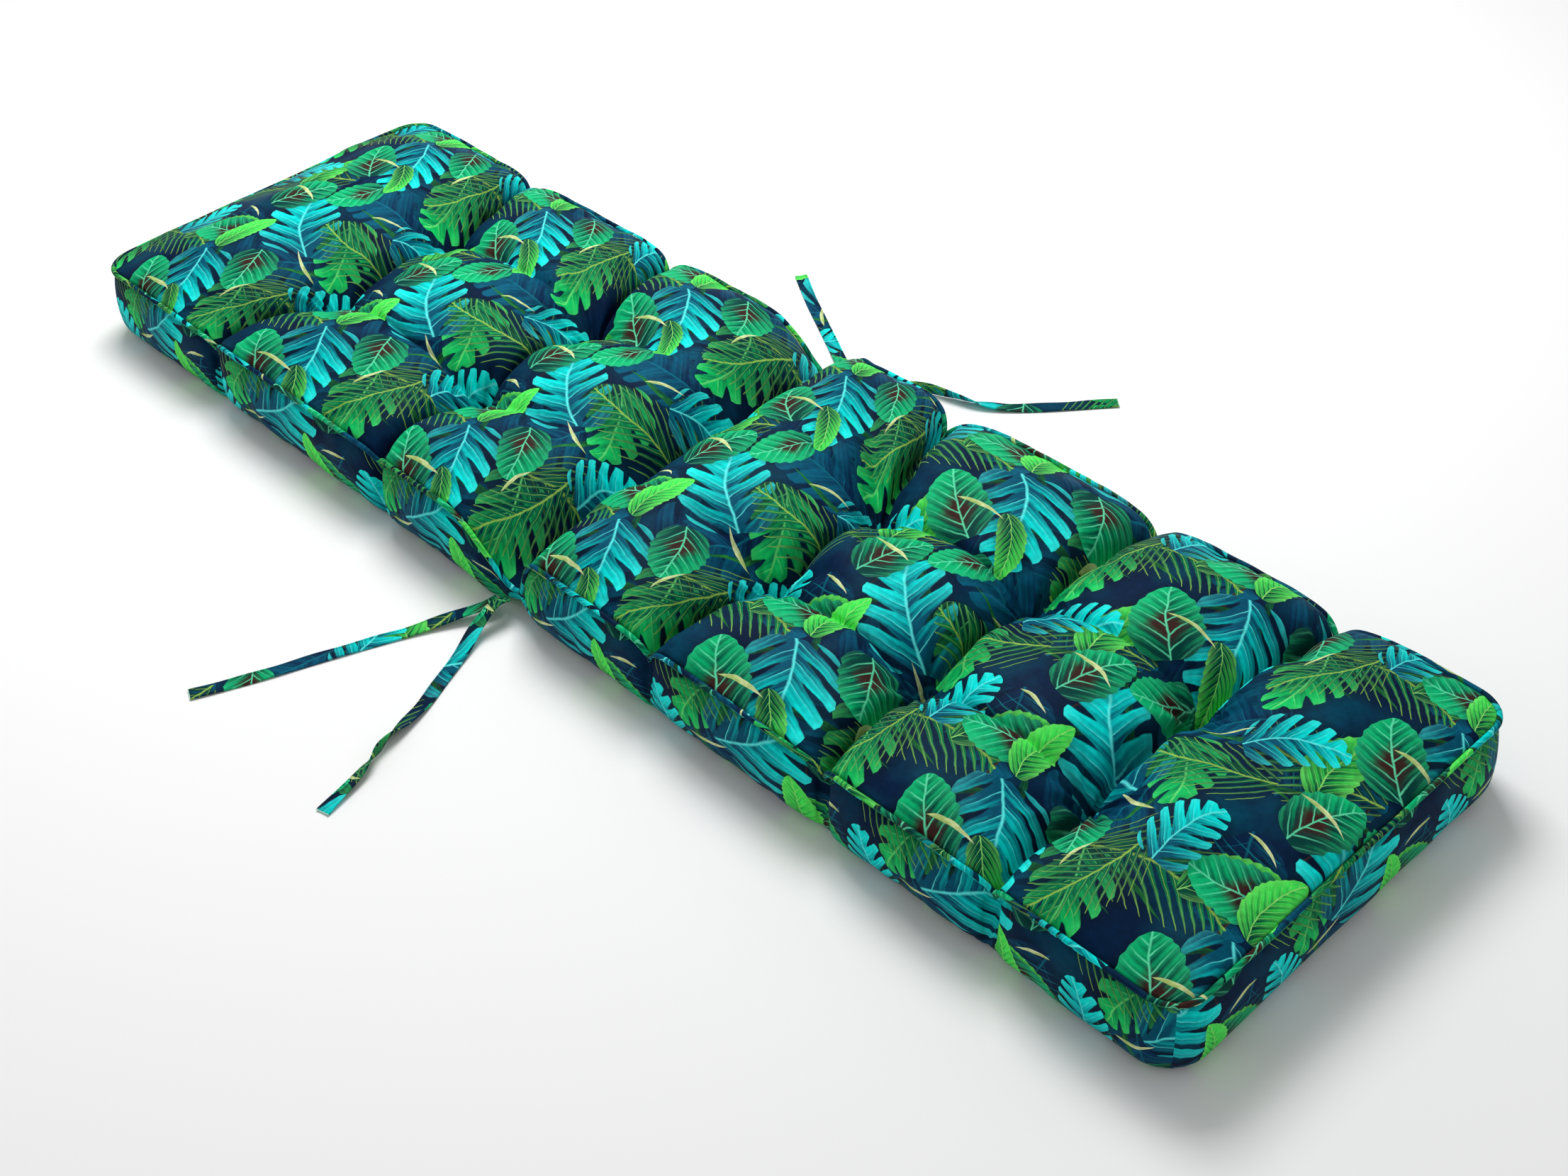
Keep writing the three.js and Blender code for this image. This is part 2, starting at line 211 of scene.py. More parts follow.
def make_tie(name, route, cut_at):
    line = smooth_route(route, TIE_CELLS_ALONG + 1)
    roll = np.radians(line[:, 3])
    height = (TIE_WIDTH * abs(np.sin(roll)) + TIE_THICKNESS * abs(np.cos(roll))) / 2
    middle = np.column_stack([line[:, 0], line[:, 1], np.maximum(line[:, 2], 0) + height])
    along = unit(np.gradient(middle, axis=0))
    level = unit(np.cross(along, (0, 0, 1)))
    side = level * np.cos(roll)[:, None] + np.cross(along, level) * np.sin(roll)[:, None]
    face = np.cross(side, along)
    reached = reached_along(middle)

    strip, flat = add_grid(name + "_strip", TIE_CELLS_ALONG, TIE_CELLS_ACROSS)
    row = line_number(flat[:, 0], TIE_CELLS_ALONG)
    across = flat[:, 1]
    beat = reached[row] * TIE_WAVES_PER_METRE + across * TIE_WAVE_SLANT + roll[row] * TIE_WAVE_BY_ROLL
    wave = TIE_FINE_WAVE * np.sin(beat) * across**2
    cup = TIE_CUPPING * across**2
    points = middle[row] + side[row] * (across * TIE_WIDTH / 2)[:, None] + face[row] * (cup + wave)[:, None]
    points[:, 2] = np.maximum(points[:, 2], TIE_THICKNESS / 2)
    put(strip, points)
    on_strip = np.column_stack([reached[-1] - reached[row], across * TIE_WIDTH / 2])
    set_map(strip, (on_strip + cut_at)[corners(strip)])
    set_map(strip, on_strip[corners(strip)], name="strip")
    apply_modifier(strip, "SOLIDIFY", thickness=TIE_THICKNESS, offset=0)
    apply_modifier(strip, "BEVEL", width=TIE_EDGE_ROUNDING, segments=2, limit_method="ANGLE")
    bpy.ops.object.shade_smooth()
    print(name, "is", round(reached[-1], 3), "m long")
    return strip, middle, reached[-1]


TIE_CUT_AT = {
    "tie_near_back": (0.034, 0.05), "tie_near_front": (0.11, 0.15),
    "tie_far_back": (0.062, 0.24), "tie_far_front": (0.175, 0.30),
}
ties = {}
for name, route in TIE_ROUTES.items():
    strip, middle, length = make_tie(name, route, TIE_CUT_AT[name])
    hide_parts(name)
    ties[name] = strip

# %% [markdown]
# The cushion is a long cover, sewn from a top panel, a side panel and an underside, filled, and tied
# down at ten tufts. The cover could be sculpted, but its form follows rules: it is level in the middle of
# each pillow, and it falls ever more steeply towards a seam or a tuft. So a box is cut into a fine grid,
# and a rule places each of its points. The cloth simulation afterwards makes it soft and uneven.

# %% Sizes of the cover
LENGTH = 1.700
WIDTH = 0.492
SEAM_HEIGHT = 0.094
CORNER_RADIUS = 0.034
CROWN = 0.030
CROWN_REACH = 0.230
PULLED_HEIGHT = 0.046
TUFT_PULL = 0.94
TUFT_REACH = 0.088
VALLEY_REACH = 0.078
VALLEY_LEFT_BY_SIDES = 0.7
CREASE_PULL = 0.50
CREASE_REACH = 0.024
SIDE_PULL_PER_PINCH = 19
PINCH_REACH = 0.062
PINCH_LEFT_UNDERNEATH = 0.4
TROUGH_REACH = 0.072
FOLD_X = -0.030
FOLD_REACH_BACK = 0.100
FOLD_REACH_FRONT = 0.056
FOLD_END_DROP = 0.016
FOLD_END_REACH_BACK = 0.110
FOLD_END_REACH_FRONT = 0.050
FOLD_PINCH = 0.005
FOLD_RISE_AT_SIDES = 5
FOLD_DROP_AT_SIDES = 3
GROOVE_HALF_WIDTH = 0.046
GROOVE_HEIGHT_MIDDLE = 0.010
GROOVE_HEIGHT_SIDE = 0.016
PLEAT_FROM = (0.212, 0.062)
PLEAT_TO = (0.040, 0.240)
PLEAT_PULL = 0.50
PLEAT_FADE = 0.8
PLEAT_REACH = 0.040
UNDERSIDE_INSET = 0.004

Crossing = namedtuple(
    "Crossing", "kind x near_tuft far_tuft valley near_pinch far_pinch near_shift far_shift"
)
CROSSINGS = [
    Crossing("end", -LENGTH / 2, -0.098, 0.082, 0, 0, 0, 0, 0),
    Crossing("tufts", -0.560, -0.098, 0.082, 0.45, 0.013, 0.012, -0.050, -0.040),
    Crossing("tufts", -0.279, -0.098, 0.080, 0.40, 0.013, 0.012, 0.004, -0.048),
    Crossing("fold", FOLD_X, -0.096, 0.072, 0, 0, 0, 0, 0),
    Crossing("tufts", 0.212, -0.096, 0.062, 0.40, 0.006, 0.024, -0.026, -0.064),
    Crossing("tufts", 0.422, -0.103, 0.062, 0.45, 0.014, 0.012, 0.008, 0.020),
    Crossing("tufts", 0.636, -0.103, 0.060, 0.45, 0.014, 0.012, 0.005, 0.030),
    Crossing("end", LENGTH / 2, -0.103, 0.060, 0, 0, 0, 0, 0),
]
TUFT_ROWS = [crossing for crossing in CROSSINGS if crossing.kind == "tufts"]
TROUGH_AT = [-0.600, -0.560, -0.279, -0.120, -0.030, 0.110, 0.212, 0.422, 0.636, 0.680]
TROUGH_PULL = [0, 0.24, 0.34, 0.10, 0.05, 0.12, 0.34, 0.34, 0.24, 0]
SIDE_UP = [0, 0.07, 0.24, 0.52, 0.82, 1]
SIDE_OUT = [0, 0.007, 0.012, 0.012, 0.007, 0]


# %% The rules of its form
def puffed(t):
    """A quarter circle: steep where it leaves a seam at 0, level from 1 on."""
    left = 1 - np.clip(t, 0, 1)
    return np.sqrt(1 - left * left)


def left_over(distance, reach, pull):
    return 1 - pull * (1 - puffed(distance / reach))


def at_crossings(column, x):
    return np.interp(x, [row.x for row in CROSSINGS], [getattr(row, column) for row in CROSSINGS])


def left_by_pleat(x, y):
    """The long pleat that runs from a tuft to the corner beside the fold, and fades out on its way."""
    start, end = np.array(PLEAT_FROM), np.array(PLEAT_TO)
    way = end - start
    share = np.clip(((x - start[0]) * way[0] + (y - start[1]) * way[1]) / (way @ way), 0, 1)
    distance = np.hypot(x - start[0] - share * way[0], y - start[1] - share * way[1])
    return left_over(distance, PLEAT_REACH, PLEAT_PULL * (1 - PLEAT_FADE * share))


def drawn_in(x, is_near):
    found = FOLD_PINCH * (1 - puffed(abs(x - FOLD_X) / PINCH_REACH))
    for row in TUFT_ROWS:
        depth = np.where(is_near, row.near_pinch, row.far_pinch)
        found = np.maximum(found, depth * (1 - puffed(abs(x - row.x) / PINCH_REACH)))
    return found


def top_height(x, y):
    crown = CROWN * puffed((LENGTH / 2 - abs(x)) / CROWN_REACH) * puffed((WIDTH / 2 - abs(y)) / CROWN_REACH)
    left = np.ones_like(x)
    for row in TUFT_ROWS:
        is_between = (y > row.near_tuft) & (y < row.far_tuft)
        side_pull = SIDE_PULL_PER_PINCH * np.where(y < 0, row.near_pinch, row.far_pinch)
        outside_pull = np.maximum(side_pull, row.valley * VALLEY_LEFT_BY_SIDES)
        left *= left_over(abs(x - row.x), VALLEY_REACH, np.where(is_between, row.valley, outside_pull))
        left *= left_over(abs(x - row.x), CREASE_REACH, CREASE_PULL)
        left *= left_over(np.hypot(x - row.x, y - row.near_tuft), TUFT_REACH, TUFT_PULL)
        left *= left_over(np.hypot(x - row.x, y - row.far_tuft), TUFT_REACH, TUFT_PULL)
    trough = np.interp(x, TROUGH_AT, TROUGH_PULL)
    left *= left_over(abs(y - at_crossings("near_tuft", x)), TROUGH_REACH, trough)
    left *= left_over(abs(y - at_crossings("far_tuft", x)), TROUGH_REACH, trough)
    left *= left_by_pleat(x, y)
    rise = puffed(abs(x - FOLD_X) / np.where(x < FOLD_X, FOLD_REACH_BACK, FOLD_REACH_FRONT))
    end_reach = np.where(x < FOLD_X, FOLD_END_REACH_BACK, FOLD_END_REACH_FRONT)
    end_rise = 0.5 - 0.5 * np.cos(np.pi * np.minimum(abs(x - FOLD_X) / end_reach, 1))
    rise += (end_rise - rise) * abs(2 * y / WIDTH) ** FOLD_RISE_AT_SIDES
    pulled = PULLED_HEIGHT - FOLD_END_DROP * (1 - rise) * abs(2 * y / WIDTH) ** FOLD_DROP_AT_SIDES
    return pulled + (SEAM_HEIGHT + crown - pulled) * left * rise


def underside_height(x, y):
    outwards = 2 * abs(y) / WIDTH
    height = GROOVE_HEIGHT_MIDDLE + (GROOVE_HEIGHT_SIDE - GROOVE_HEIGHT_MIDDLE) * outwards**2
    away = np.minimum(abs(x - FOLD_X) / GROOVE_HALF_WIDTH, 1)
    return height * (0.5 + 0.5 * np.cos(np.pi * away))


def shaped_in_plan(x, y, share):
    """Bends the rows towards the sides, rounds the outline's corners and draws the long sides in."""
    is_near = y < 0
    tuft = np.where(is_near, at_crossings("near_tuft", x), at_crossings("far_tuft", x))
    outside = np.maximum((y - tuft) / (np.where(is_near, -WIDTH, WIDTH) / 2 - tuft), 0)
    shift = np.where(is_near, at_crossings("near_shift", x), at_crossings("far_shift", x))
    along = x + outside * shift
    corner_x = np.maximum((abs(along) - LENGTH / 2 + CORNER_RADIUS) / CORNER_RADIUS, 0)
    corner_y = np.maximum((abs(y) - WIDTH / 2 + CORNER_RADIUS) / CORNER_RADIUS, 0)
    is_corner = (corner_x > 0) & (corner_y > 0)
    round_x = LENGTH / 2 - CORNER_RADIUS + CORNER_RADIUS * corner_x * np.sqrt(1 - corner_y**2 / 2)
    round_y = WIDTH / 2 - CORNER_RADIUS + CORNER_RADIUS * corner_y * np.sqrt(1 - corner_x**2 / 2)
    plan_x = np.where(is_corner, round_x, abs(along))
    plan_y = np.where(is_corner, round_y, abs(y))
    plan_y -= share * drawn_in(x, is_near) * plan_y / (WIDTH / 2)
    return np.sign(along) * plan_x, np.sign(y) * plan_y


# %% Cut a box into a fine grid
PILLOWS_ALONG = len(CROSSINGS) - 1
PILLOWS_ACROSS = 3
COLUMNS_PER_PILLOW = 34
ROWS_PER_PILLOW = 24
SIDE_BANDS = 8
COLUMN_CROWDING = 0.62
ROW_CROWDING = 0.4
COLUMNS = COLUMNS_PER_PILLOW * PILLOWS_ALONG
ROWS = ROWS_PER_PILLOW * PILLOWS_ACROSS


def cut_edges_along(box, axis, cells):
    """Cuts every edge that runs along an axis into equal cells."""
    points = places(box)
    ends = np.array([edge.vertices for edge in box.data.edges])
    runs_along = abs(points[ends[:, 0]] - points[ends[:, 1]])[:, axis] > TOLERANCE
    edit_selected(box, "edges", runs_along)
    bpy.ops.mesh.subdivide(number_cuts=cells - 1)
    bpy.ops.object.mode_set(mode="OBJECT")


def cut_box():
    bpy.ops.object.select_all(action="DESELECT")
    bpy.ops.mesh.primitive_cube_add(size=2)
    box = bpy.context.object
    cuts = [
        (0, PILLOWS_ALONG), (0, COLUMNS_PER_PILLOW), (1, PILLOWS_ACROSS), (1, ROWS_PER_PILLOW),
        (2, SIDE_BANDS),
    ]
    for axis, cells in cuts:
        cut_edges_along(box, axis, cells)
    return box


cover = cut_box()
cover.name = "filled_cover"
print("the box has", len(cover.data.polygons), "faces")


# %% Place every point of the grid
def crowded(seams, per_pillow, crowding):
    """Places between seams, closer together towards each seam."""
    t = np.arange(per_pillow) / per_pillow
    eased = t - crowding * np.sin(2 * np.pi * t) / (2 * np.pi)
    found = [low + (high - low) * eased for low, high in zip(seams[:-1], seams[1:])]
    return np.append(np.concatenate(found), seams[-1])


cells = places(cover)
column = line_number(cells[:, 0], COLUMNS)
row = line_number(cells[:, 1], ROWS)
band = line_number(cells[:, 2], SIDE_BANDS)
flat_x = crowded([crossing.x for crossing in CROSSINGS], COLUMNS_PER_PILLOW, COLUMN_CROWDING)[column]
shares = crowded([0, 1, 2, 3], ROWS_PER_PILLOW, ROW_CROWDING)[row]
near_tuft, far_tuft = at_crossings("near_tuft", flat_x), at_crossings("far_tuft", flat_x)
flat_y = np.select(
    [shares < 1, shares < 2],
    [-WIDTH / 2 + (near_tuft + WIDTH / 2) * shares, near_tuft + (far_tuft - near_tuft) * (shares - 1)],
    far_tuft + (WIDTH / 2 - far_tuft) * (shares - 2),
)
is_top, is_under = band == SIDE_BANDS, band == 0
is_rim = (column == 0) | (column == COLUMNS) | (row == 0) | (row == ROWS)

top_x, top_y = shaped_in_plan(flat_x, flat_y, 1)
under_x, under_y = shaped_in_plan(flat_x, flat_y, PINCH_LEFT_UNDERNEATH)
under_x *= 1 - UNDERSIDE_INSET / (LENGTH / 2)
under_y *= 1 - UNDERSIDE_INSET / (WIDTH / 2)
top_z, under_z = top_height(flat_x, flat_y), underside_height(flat_x, flat_y)
up = band / SIDE_BANDS
out_x = np.where(column == COLUMNS, 1.0, 0) - np.where(column == 0, 1.0, 0)
out_y = np.where(row == ROWS, 1.0, 0) - np.where(row == 0, 1.0, 0)
out_length = np.maximum(np.hypot(out_x, out_y), 1)
stand = np.interp(up, SIDE_UP, SIDE_OUT) * (top_z - under_z) / SEAM_HEIGHT
modelled = np.column_stack([
    under_x + (top_x - under_x) * up + out_x / out_length * stand,
    under_y + (top_y - under_y) * up + out_y / out_length * stand,
    under_z + (top_z - under_z) * up,
])
put(cover, modelled)
print("the cover is", np.round(np.ptp(modelled, axis=0), 3), "m")

# %% [markdown]
# The cloth has to know where each of its points lay when it was flat, because the print was on it
# before it was sewn. The top and the underside keep their places in the rectangle. The side panel is one
# strip that starts and ends at the front right corner, so it is mapped by the way round and the height.

# %% Map the flat cloth
PANEL_CUT_AT = {"top": (0, 0), "side": (0.13, 0.21), "under": (0.07, 0.16)}

faces = corners(cover).reshape(-1, 4)
on_sides = [row == 0, column == 0, row == ROWS, column == COLUMNS]
ways_round = [
    LENGTH / 2 - flat_x,
    LENGTH + WIDTH / 2 + flat_y,
    LENGTH + WIDTH + LENGTH / 2 + flat_x,
    2 * LENGTH + WIDTH + WIDTH / 2 - flat_y,
]
around = np.select(on_sides, ways_round, ways_round[-1])
flat = np.column_stack([flat_x, flat_y])
panels = [
    (on_side, np.column_stack([way_round, up * SEAM_HEIGHT]) + PANEL_CUT_AT["side"])
    for on_side, way_round in zip(on_sides, ways_round)
]
panels.append((is_top, flat + PANEL_CUT_AT["top"]))
panels.append((is_under, flat * (1, -1) + PANEL_CUT_AT["under"]))

cloth_map = np.empty((*faces.shape, 2))
for is_in_panel, on_cloth in panels:
    chosen = is_in_panel[faces].all(axis=1)
    cloth_map[chosen] = on_cloth[faces[chosen]]
set_map(cover, cloth_map.reshape(-1, 2))
print("the side panel is", round(2 * (LENGTH + WIDTH), 3), "m long when flat")

# %% [markdown]
# A filled cover isn't smooth: its cloth is a little larger than the shape it holds, so it swells between
# the tufts and folds towards them. Blender's cloth simulation does this well. A copy without its
# underside is blown up gently, held at the tufts, at the fold and at its lower edge, and no point may
# move further than a cap. The moved points are then written back to the cover.

# %% Let the filling push the cover out
SIM_FRAMES = 20
SIM_PRESSURE = 4
SIM_POINT_MASS = 0.001
SIM_SPARE_CLOTH = 0.02
SIM_STIFFNESS = 15
SIM_SHEAR = 5
SIM_BENDING = 0.05
SIM_SEAM_HOLD = 1.0
SIM_CREASE_HOLD = 0.95
SIM_LARGEST_MOVE = 0.018
HIGHEST_POINT = 0.134
TUFT_RADIUS = 0.006
FOLD_HELD_WITHIN = 0.002
LUMP_SIZES = (0.16, 0.10, 0.065)
LUMP_HEIGHTS = (0.0022, 0.0016, 0.0009)
WAVES_OF_EACH_SIZE = 5
LUMPS_FADE_AT_SEAM = 0.05
END_SMOOTH_FROM = 0.68
END_SMOOTH_FADE = 0.05
END_SMOOTHING = 60
ALMOST_NOTHING = 1e-9


def to_nearest_tuft(x, y):
    tufts = [(spot.x, side) for spot in TUFT_ROWS for side in (spot.near_tuft, spot.far_tuft)]
    return np.min([np.hypot(x - tuft_x, y - tuft_y) for tuft_x, tuft_y in tufts], axis=0)


def lumps(x, y, sizes, heights):
    """Soft lumps of several sizes, as waves that run in random directions."""
    found = np.zeros_like(x)
    for size, height in zip(sizes, heights):
        for angle, phase in rng.uniform(0, 2 * np.pi, (WAVES_OF_EACH_SIZE, 2)):
            found += height / 2 * np.sin((x * np.cos(angle) + y * np.sin(angle)) * 2 * np.pi / size + phase)
    return found


is_free_top = is_top & ~is_rim & (to_nearest_tuft(flat_x, flat_y) > TUFT_RADIUS)
is_fold = is_top & (abs(flat_x - FOLD_X) < FOLD_HELD_WITHIN)
is_crease = is_free_top & (column % COLUMNS_PER_PILLOW == 0) & ~is_fold
filling = lumps(flat_x, flat_y, LUMP_SIZES, LUMP_HEIGHTS)
at_seam = puffed((WIDTH / 2 - abs(flat_y)) / LUMPS_FADE_AT_SEAM)
filling *= puffed(to_nearest_tuft(flat_x, flat_y) / TUFT_REACH) * at_seam
modelled[:, 2] += np.where(is_free_top & ~is_fold, filling, 0)
put(cover, modelled)


def smoothed(piece, values, passes):
    """Each vertex's value averaged with its neighbours', again and again."""
    ends = np.array([edge.vertices for edge in piece.data.edges])
    count = np.bincount(ends.ravel(), minlength=len(values))[:, None]
    for _ in range(passes):
        total = np.zeros_like(values)
        np.add.at(total, ends[:, 0], values[ends[:, 1]])
        np.add.at(total, ends[:, 1], values[ends[:, 0]])
        values = (values + total / count) / 2
    return values


def settle(cover):
    """Blows up a draft of the cover without its underside, and gives the places that it reaches."""
    keep = ~is_under | is_rim
    draft = cover.copy()
    draft.data = cover.data.copy()
    bpy.context.scene.collection.objects.link(draft)
    edit_selected(draft, "vertices", ~keep)
    bpy.ops.mesh.delete(type="VERT")
    bpy.ops.object.mode_set(mode="OBJECT")

    held = draft.vertex_groups.new(name="held")
    is_seam = is_top & is_rim
    is_held = is_under | is_fold | (is_top & ~is_free_top & ~is_seam)
    for is_chosen, hold in [(is_held, 1), (is_seam & ~is_held, SIM_SEAM_HOLD), (is_crease, SIM_CREASE_HOLD)]:
        held.add(np.flatnonzero(is_chosen[keep]).tolist(), hold, "REPLACE")
    cloth = draft.modifiers.new("cloth", "CLOTH")
    cloth.settings.mass = SIM_POINT_MASS
    cloth.settings.tension_stiffness = SIM_STIFFNESS
    cloth.settings.compression_stiffness = SIM_STIFFNESS
    cloth.settings.shear_stiffness = SIM_SHEAR
    cloth.settings.bending_stiffness = SIM_BENDING
    cloth.settings.shrink_min = -SIM_SPARE_CLOTH
    cloth.settings.vertex_group_mass = "held"
    cloth.settings.use_pressure = True
    cloth.settings.uniform_pressure_force = SIM_PRESSURE
    cloth.settings.effector_weights.gravity = 0
    cloth.collision_settings.use_collision = False
    cloth.point_cache.frame_start, cloth.point_cache.frame_end = 1, SIM_FRAMES
    for number in range(1, SIM_FRAMES + 1):
        bpy.context.scene.frame_set(number)
    bpy.ops.object.modifier_apply(modifier=cloth.name)

    move = places(draft) - modelled[keep]
    evened = smoothed(draft, move, END_SMOOTHING)
    at_end = np.clip((abs(flat_x[keep]) - END_SMOOTH_FROM) / END_SMOOTH_FADE, 0, 1)[:, None]
    move += (evened - move) * at_end
    distance = np.linalg.norm(move, axis=1, keepdims=True)
    move *= np.minimum(1, SIM_LARGEST_MOVE / np.maximum(distance, ALMOST_NOTHING))
    settled = modelled.copy()
    settled[keep] += move
    settled[:, 2] = np.clip(settled[:, 2], 0, HIGHEST_POINT)
    bpy.data.objects.remove(draft)
    bpy.context.scene.frame_set(1)
    print("the cover swelled by up to", round(float(distance.max()) * 1000, 1), "mm")
    return settled


put(cover, settle(cover))

# %% [markdown]
# One level of subdivision rounds the grid. Marks on the points carry along what each of them is.

# %% Refine the cover
def mark(piece, name, values):
    piece.data.attributes.new(name, "FLOAT", "POINT").data.foreach_set("value", values.astype(np.float32))


def marked(piece, name):
    found = np.empty(len(piece.data.vertices), np.float32)
    piece.data.attributes[name].data.foreach_get("value", found)
    return found


mark(cover, "seam", is_top & is_rim)
mark(cover, "cloth_x", flat_x)
mark(cover, "cloth_y", flat_y)
mark(cover, "way_up", up)
mark(cover, "way_round", around)
apply_modifier(cover, "SUBSURF", levels=1, render_levels=1)
print("the refined cover has", len(cover.data.polygons), "faces")

# %% [markdown]
# The finest folds come last, because the simulation would smooth them away. Short pleats run out of
# each tuft, a sharp line lies in each crease across the top, and the cloth puckers a little along the
# seam. Creases run down the side panel under each place that is pinched. A tuft's stitches go right
# through, so they also dimple the underside. All are small moves along the surface's own normals.

# %% Fine folds
TUFT_PLEATS = 10
TUFT_PLEAT_HEIGHT = 0.0038
TUFT_PLEAT_START = 0.010
TUFT_PLEAT_REACH = 0.072
TUFT_PLEAT_TWISTS = (0.5, 2.5)
TUFT_PLEAT_SWAY = 1.5
PUCKER_HEIGHT = 0.0007
PUCKER_LENGTH = 0.021
PUCKER_START = 0.004
PUCKER_REACH = 0.022
PUCKER_LONG_BEAT = 0.13
PUCKER_SHORT_BEAT = 0.047
PUCKER_BEAT_SHIFT = 2
PUCKER_SWAY = 2
PUCKER_SHARE_EVEN = 0.5
PUCKER_SHARE_BEATING = 0.3
END_SEAMS_START = 3
CREASE_LINE_DEPTH = 0.0035
CREASE_LINE_WIDTH = 0.0045
CREASE_LINE_FADE = 0.02
SIDE_CREASE_DEPTH = 0.010
SIDE_CREASE_WIDTH = 0.010
SIDE_CREASE_LEAN = 0.010
SIDE_CREASE_STARTS_OVER = 6
FULL_PINCH = 0.013
SIDE_WAVE = 0.0008
SIDE_WAVES_PER_METRE = 47
SIDE_BENDS_PER_METRE = 11
SIDE_WAVE_SWAY = 3
SIDE_JOIN_DEPTH = 0.0022
SIDE_JOIN_WIDTH = 0.003
DIMPLE_HEIGHT = 0.006
DIMPLE_REACH = 0.024
UNEVENNESS = 0.0005
UNEVEN_SWAY = 2
UNEVEN_WAVES = (97, 83)
UNEVEN_BENDS = (41, 37)


def normals(piece):
    found = np.empty(len(piece.data.vertices) * 3)
    piece.data.vertices.foreach_get("normal", found)
    return found.reshape(-1, 3)


def swaying(wave, bend, sway):
    """A wave that drifts to and fro, because cloth never folds evenly."""
    return np.sin(wave + sway * np.sin(bend))


def pleats_at_tufts(x, y):
    found = np.zeros_like(x)
    for spot in TUFT_ROWS:
        for side in (spot.near_tuft, spot.far_tuft):
            away = np.hypot(x - spot.x, y - side)
            angle = np.arctan2(y - side, x - spot.x)
            starts = rng.uniform(0, 2 * np.pi)
            twist = rng.uniform(*TUFT_PLEAT_TWISTS)
            folds = swaying(TUFT_PLEATS * angle + starts, twist * angle + starts, TUFT_PLEAT_SWAY)
            fade = np.clip(away / TUFT_PLEAT_START, 0, 1) * np.clip(1 - away / TUFT_PLEAT_REACH, 0, 1)
            found += TUFT_PLEAT_HEIGHT * folds * fade
    return found


def puckers(way, from_seam):
    fade = np.clip(1 - from_seam / PUCKER_REACH, 0, 1) * np.clip(from_seam / PUCKER_START, 0, 1)
    beat = np.sin(way / PUCKER_LONG_BEAT) + np.sin(way / PUCKER_SHORT_BEAT + PUCKER_BEAT_SHIFT)
    folds = np.sin(way * 2 * np.pi / PUCKER_LENGTH + PUCKER_SWAY * beat)
    return PUCKER_HEIGHT * fade * folds * (PUCKER_SHARE_EVEN + PUCKER_SHARE_BEATING * beat)


def side_creases(x, y, height_share):
    """How far the side panel is drawn in under each pinch, less towards the lower edge."""
    found = np.zeros_like(x)
    for spot in TUFT_ROWS:
        near = (-1, spot.near_shift, spot.near_pinch)
        far = (1, spot.far_shift, spot.far_pinch)
        for edge_y, shift, pinch in (near, far):
            off = (x - spot.x - shift - SIDE_CREASE_LEAN * (1 - height_share)) / SIDE_CREASE_WIDTH
            found += np.where(y * edge_y > 0, pinch / FULL_PINCH * np.exp(-off * off), 0)
    fade = np.clip((1 - height_share) * SIDE_CREASE_STARTS_OVER, 0, 1)
    return -SIDE_CREASE_DEPTH * found * np.sqrt(height_share) * fade


def crease_lines(x, y):
    """The sharp line at the bottom of each crease across the top, gone where it meets a long seam."""
    found = np.sum([np.exp(-(((x - spot.x) / CREASE_LINE_WIDTH) ** 2)) for spot in TUFT_ROWS], axis=0)
    return -CREASE_LINE_DEPTH * found * np.clip((WIDTH / 2 - abs(y)) / CREASE_LINE_FADE, 0, 1)


def underside_rise(x, y):
    """A dimple at each tuft, and between them cloth that is never quite even."""
    dimples = DIMPLE_HEIGHT * np.exp(-(to_nearest_tuft(x, y) / DIMPLE_REACH) ** 2)
    along = swaying(x * UNEVEN_WAVES[0], y * UNEVEN_BENDS[0], UNEVEN_SWAY)
    across = swaying(y * UNEVEN_WAVES[1], x * UNEVEN_BENDS[1], UNEVEN_SWAY)
    return dimples + UNEVENNESS * (1 + along * across)


cloth_x, cloth_y, way_up = marked(cover, "cloth_x"), marked(cover, "cloth_y"), marked(cover, "way_up")
points, outwards = places(cover), normals(cover)
on_top = way_up > 1 - TOLERANCE
on_side = (way_up > TOLERANCE) & ~on_top
from_long_seam = WIDTH / 2 - abs(cloth_y)
from_end_seam = LENGTH / 2 - abs(cloth_x)
from_seam = np.minimum(from_long_seam, from_end_seam)
along_seam = np.where(from_long_seam < from_end_seam, cloth_x, cloth_y + END_SEAMS_START)
way = marked(cover, "way_round")
side_wave = swaying(way * SIDE_WAVES_PER_METRE, way * SIDE_BENDS_PER_METRE, SIDE_WAVE_SWAY)
from_join = np.minimum(way, 2 * (LENGTH + WIDTH) - way) / SIDE_JOIN_WIDTH
raised = np.where(on_top, pleats_at_tufts(cloth_x, cloth_y) + puckers(along_seam, from_seam), 0)
raised += np.where(on_top, crease_lines(cloth_x, cloth_y), 0)
raised += np.where(on_side, puckers(way, (1 - way_up) * SEAM_HEIGHT), 0)
raised += np.where(on_side, side_creases(points[:, 0], points[:, 1], way_up), 0)
raised += np.where(on_side, SIDE_WAVE * side_wave * np.sin(way_up * np.pi), 0)
raised -= np.where(on_side, SIDE_JOIN_DEPTH * np.exp(-from_join**2), 0)
raised -= np.where(way_up < TOLERANCE, underside_rise(cloth_x, cloth_y), 0)
put(cover, points + outwards * raised[:, None])
print("the fine folds are up to", round(float(abs(raised).max()) * 1000, 1), "mm deep")

# %% [markdown]
# The underside has as many faces as the top but far less form. Decimate takes many of them away, only
# where a vertex group says so. What it moved under the ground is then lifted back onto it.

# %% Thin out the underside
UNDERSIDE_KEPT = 0.6

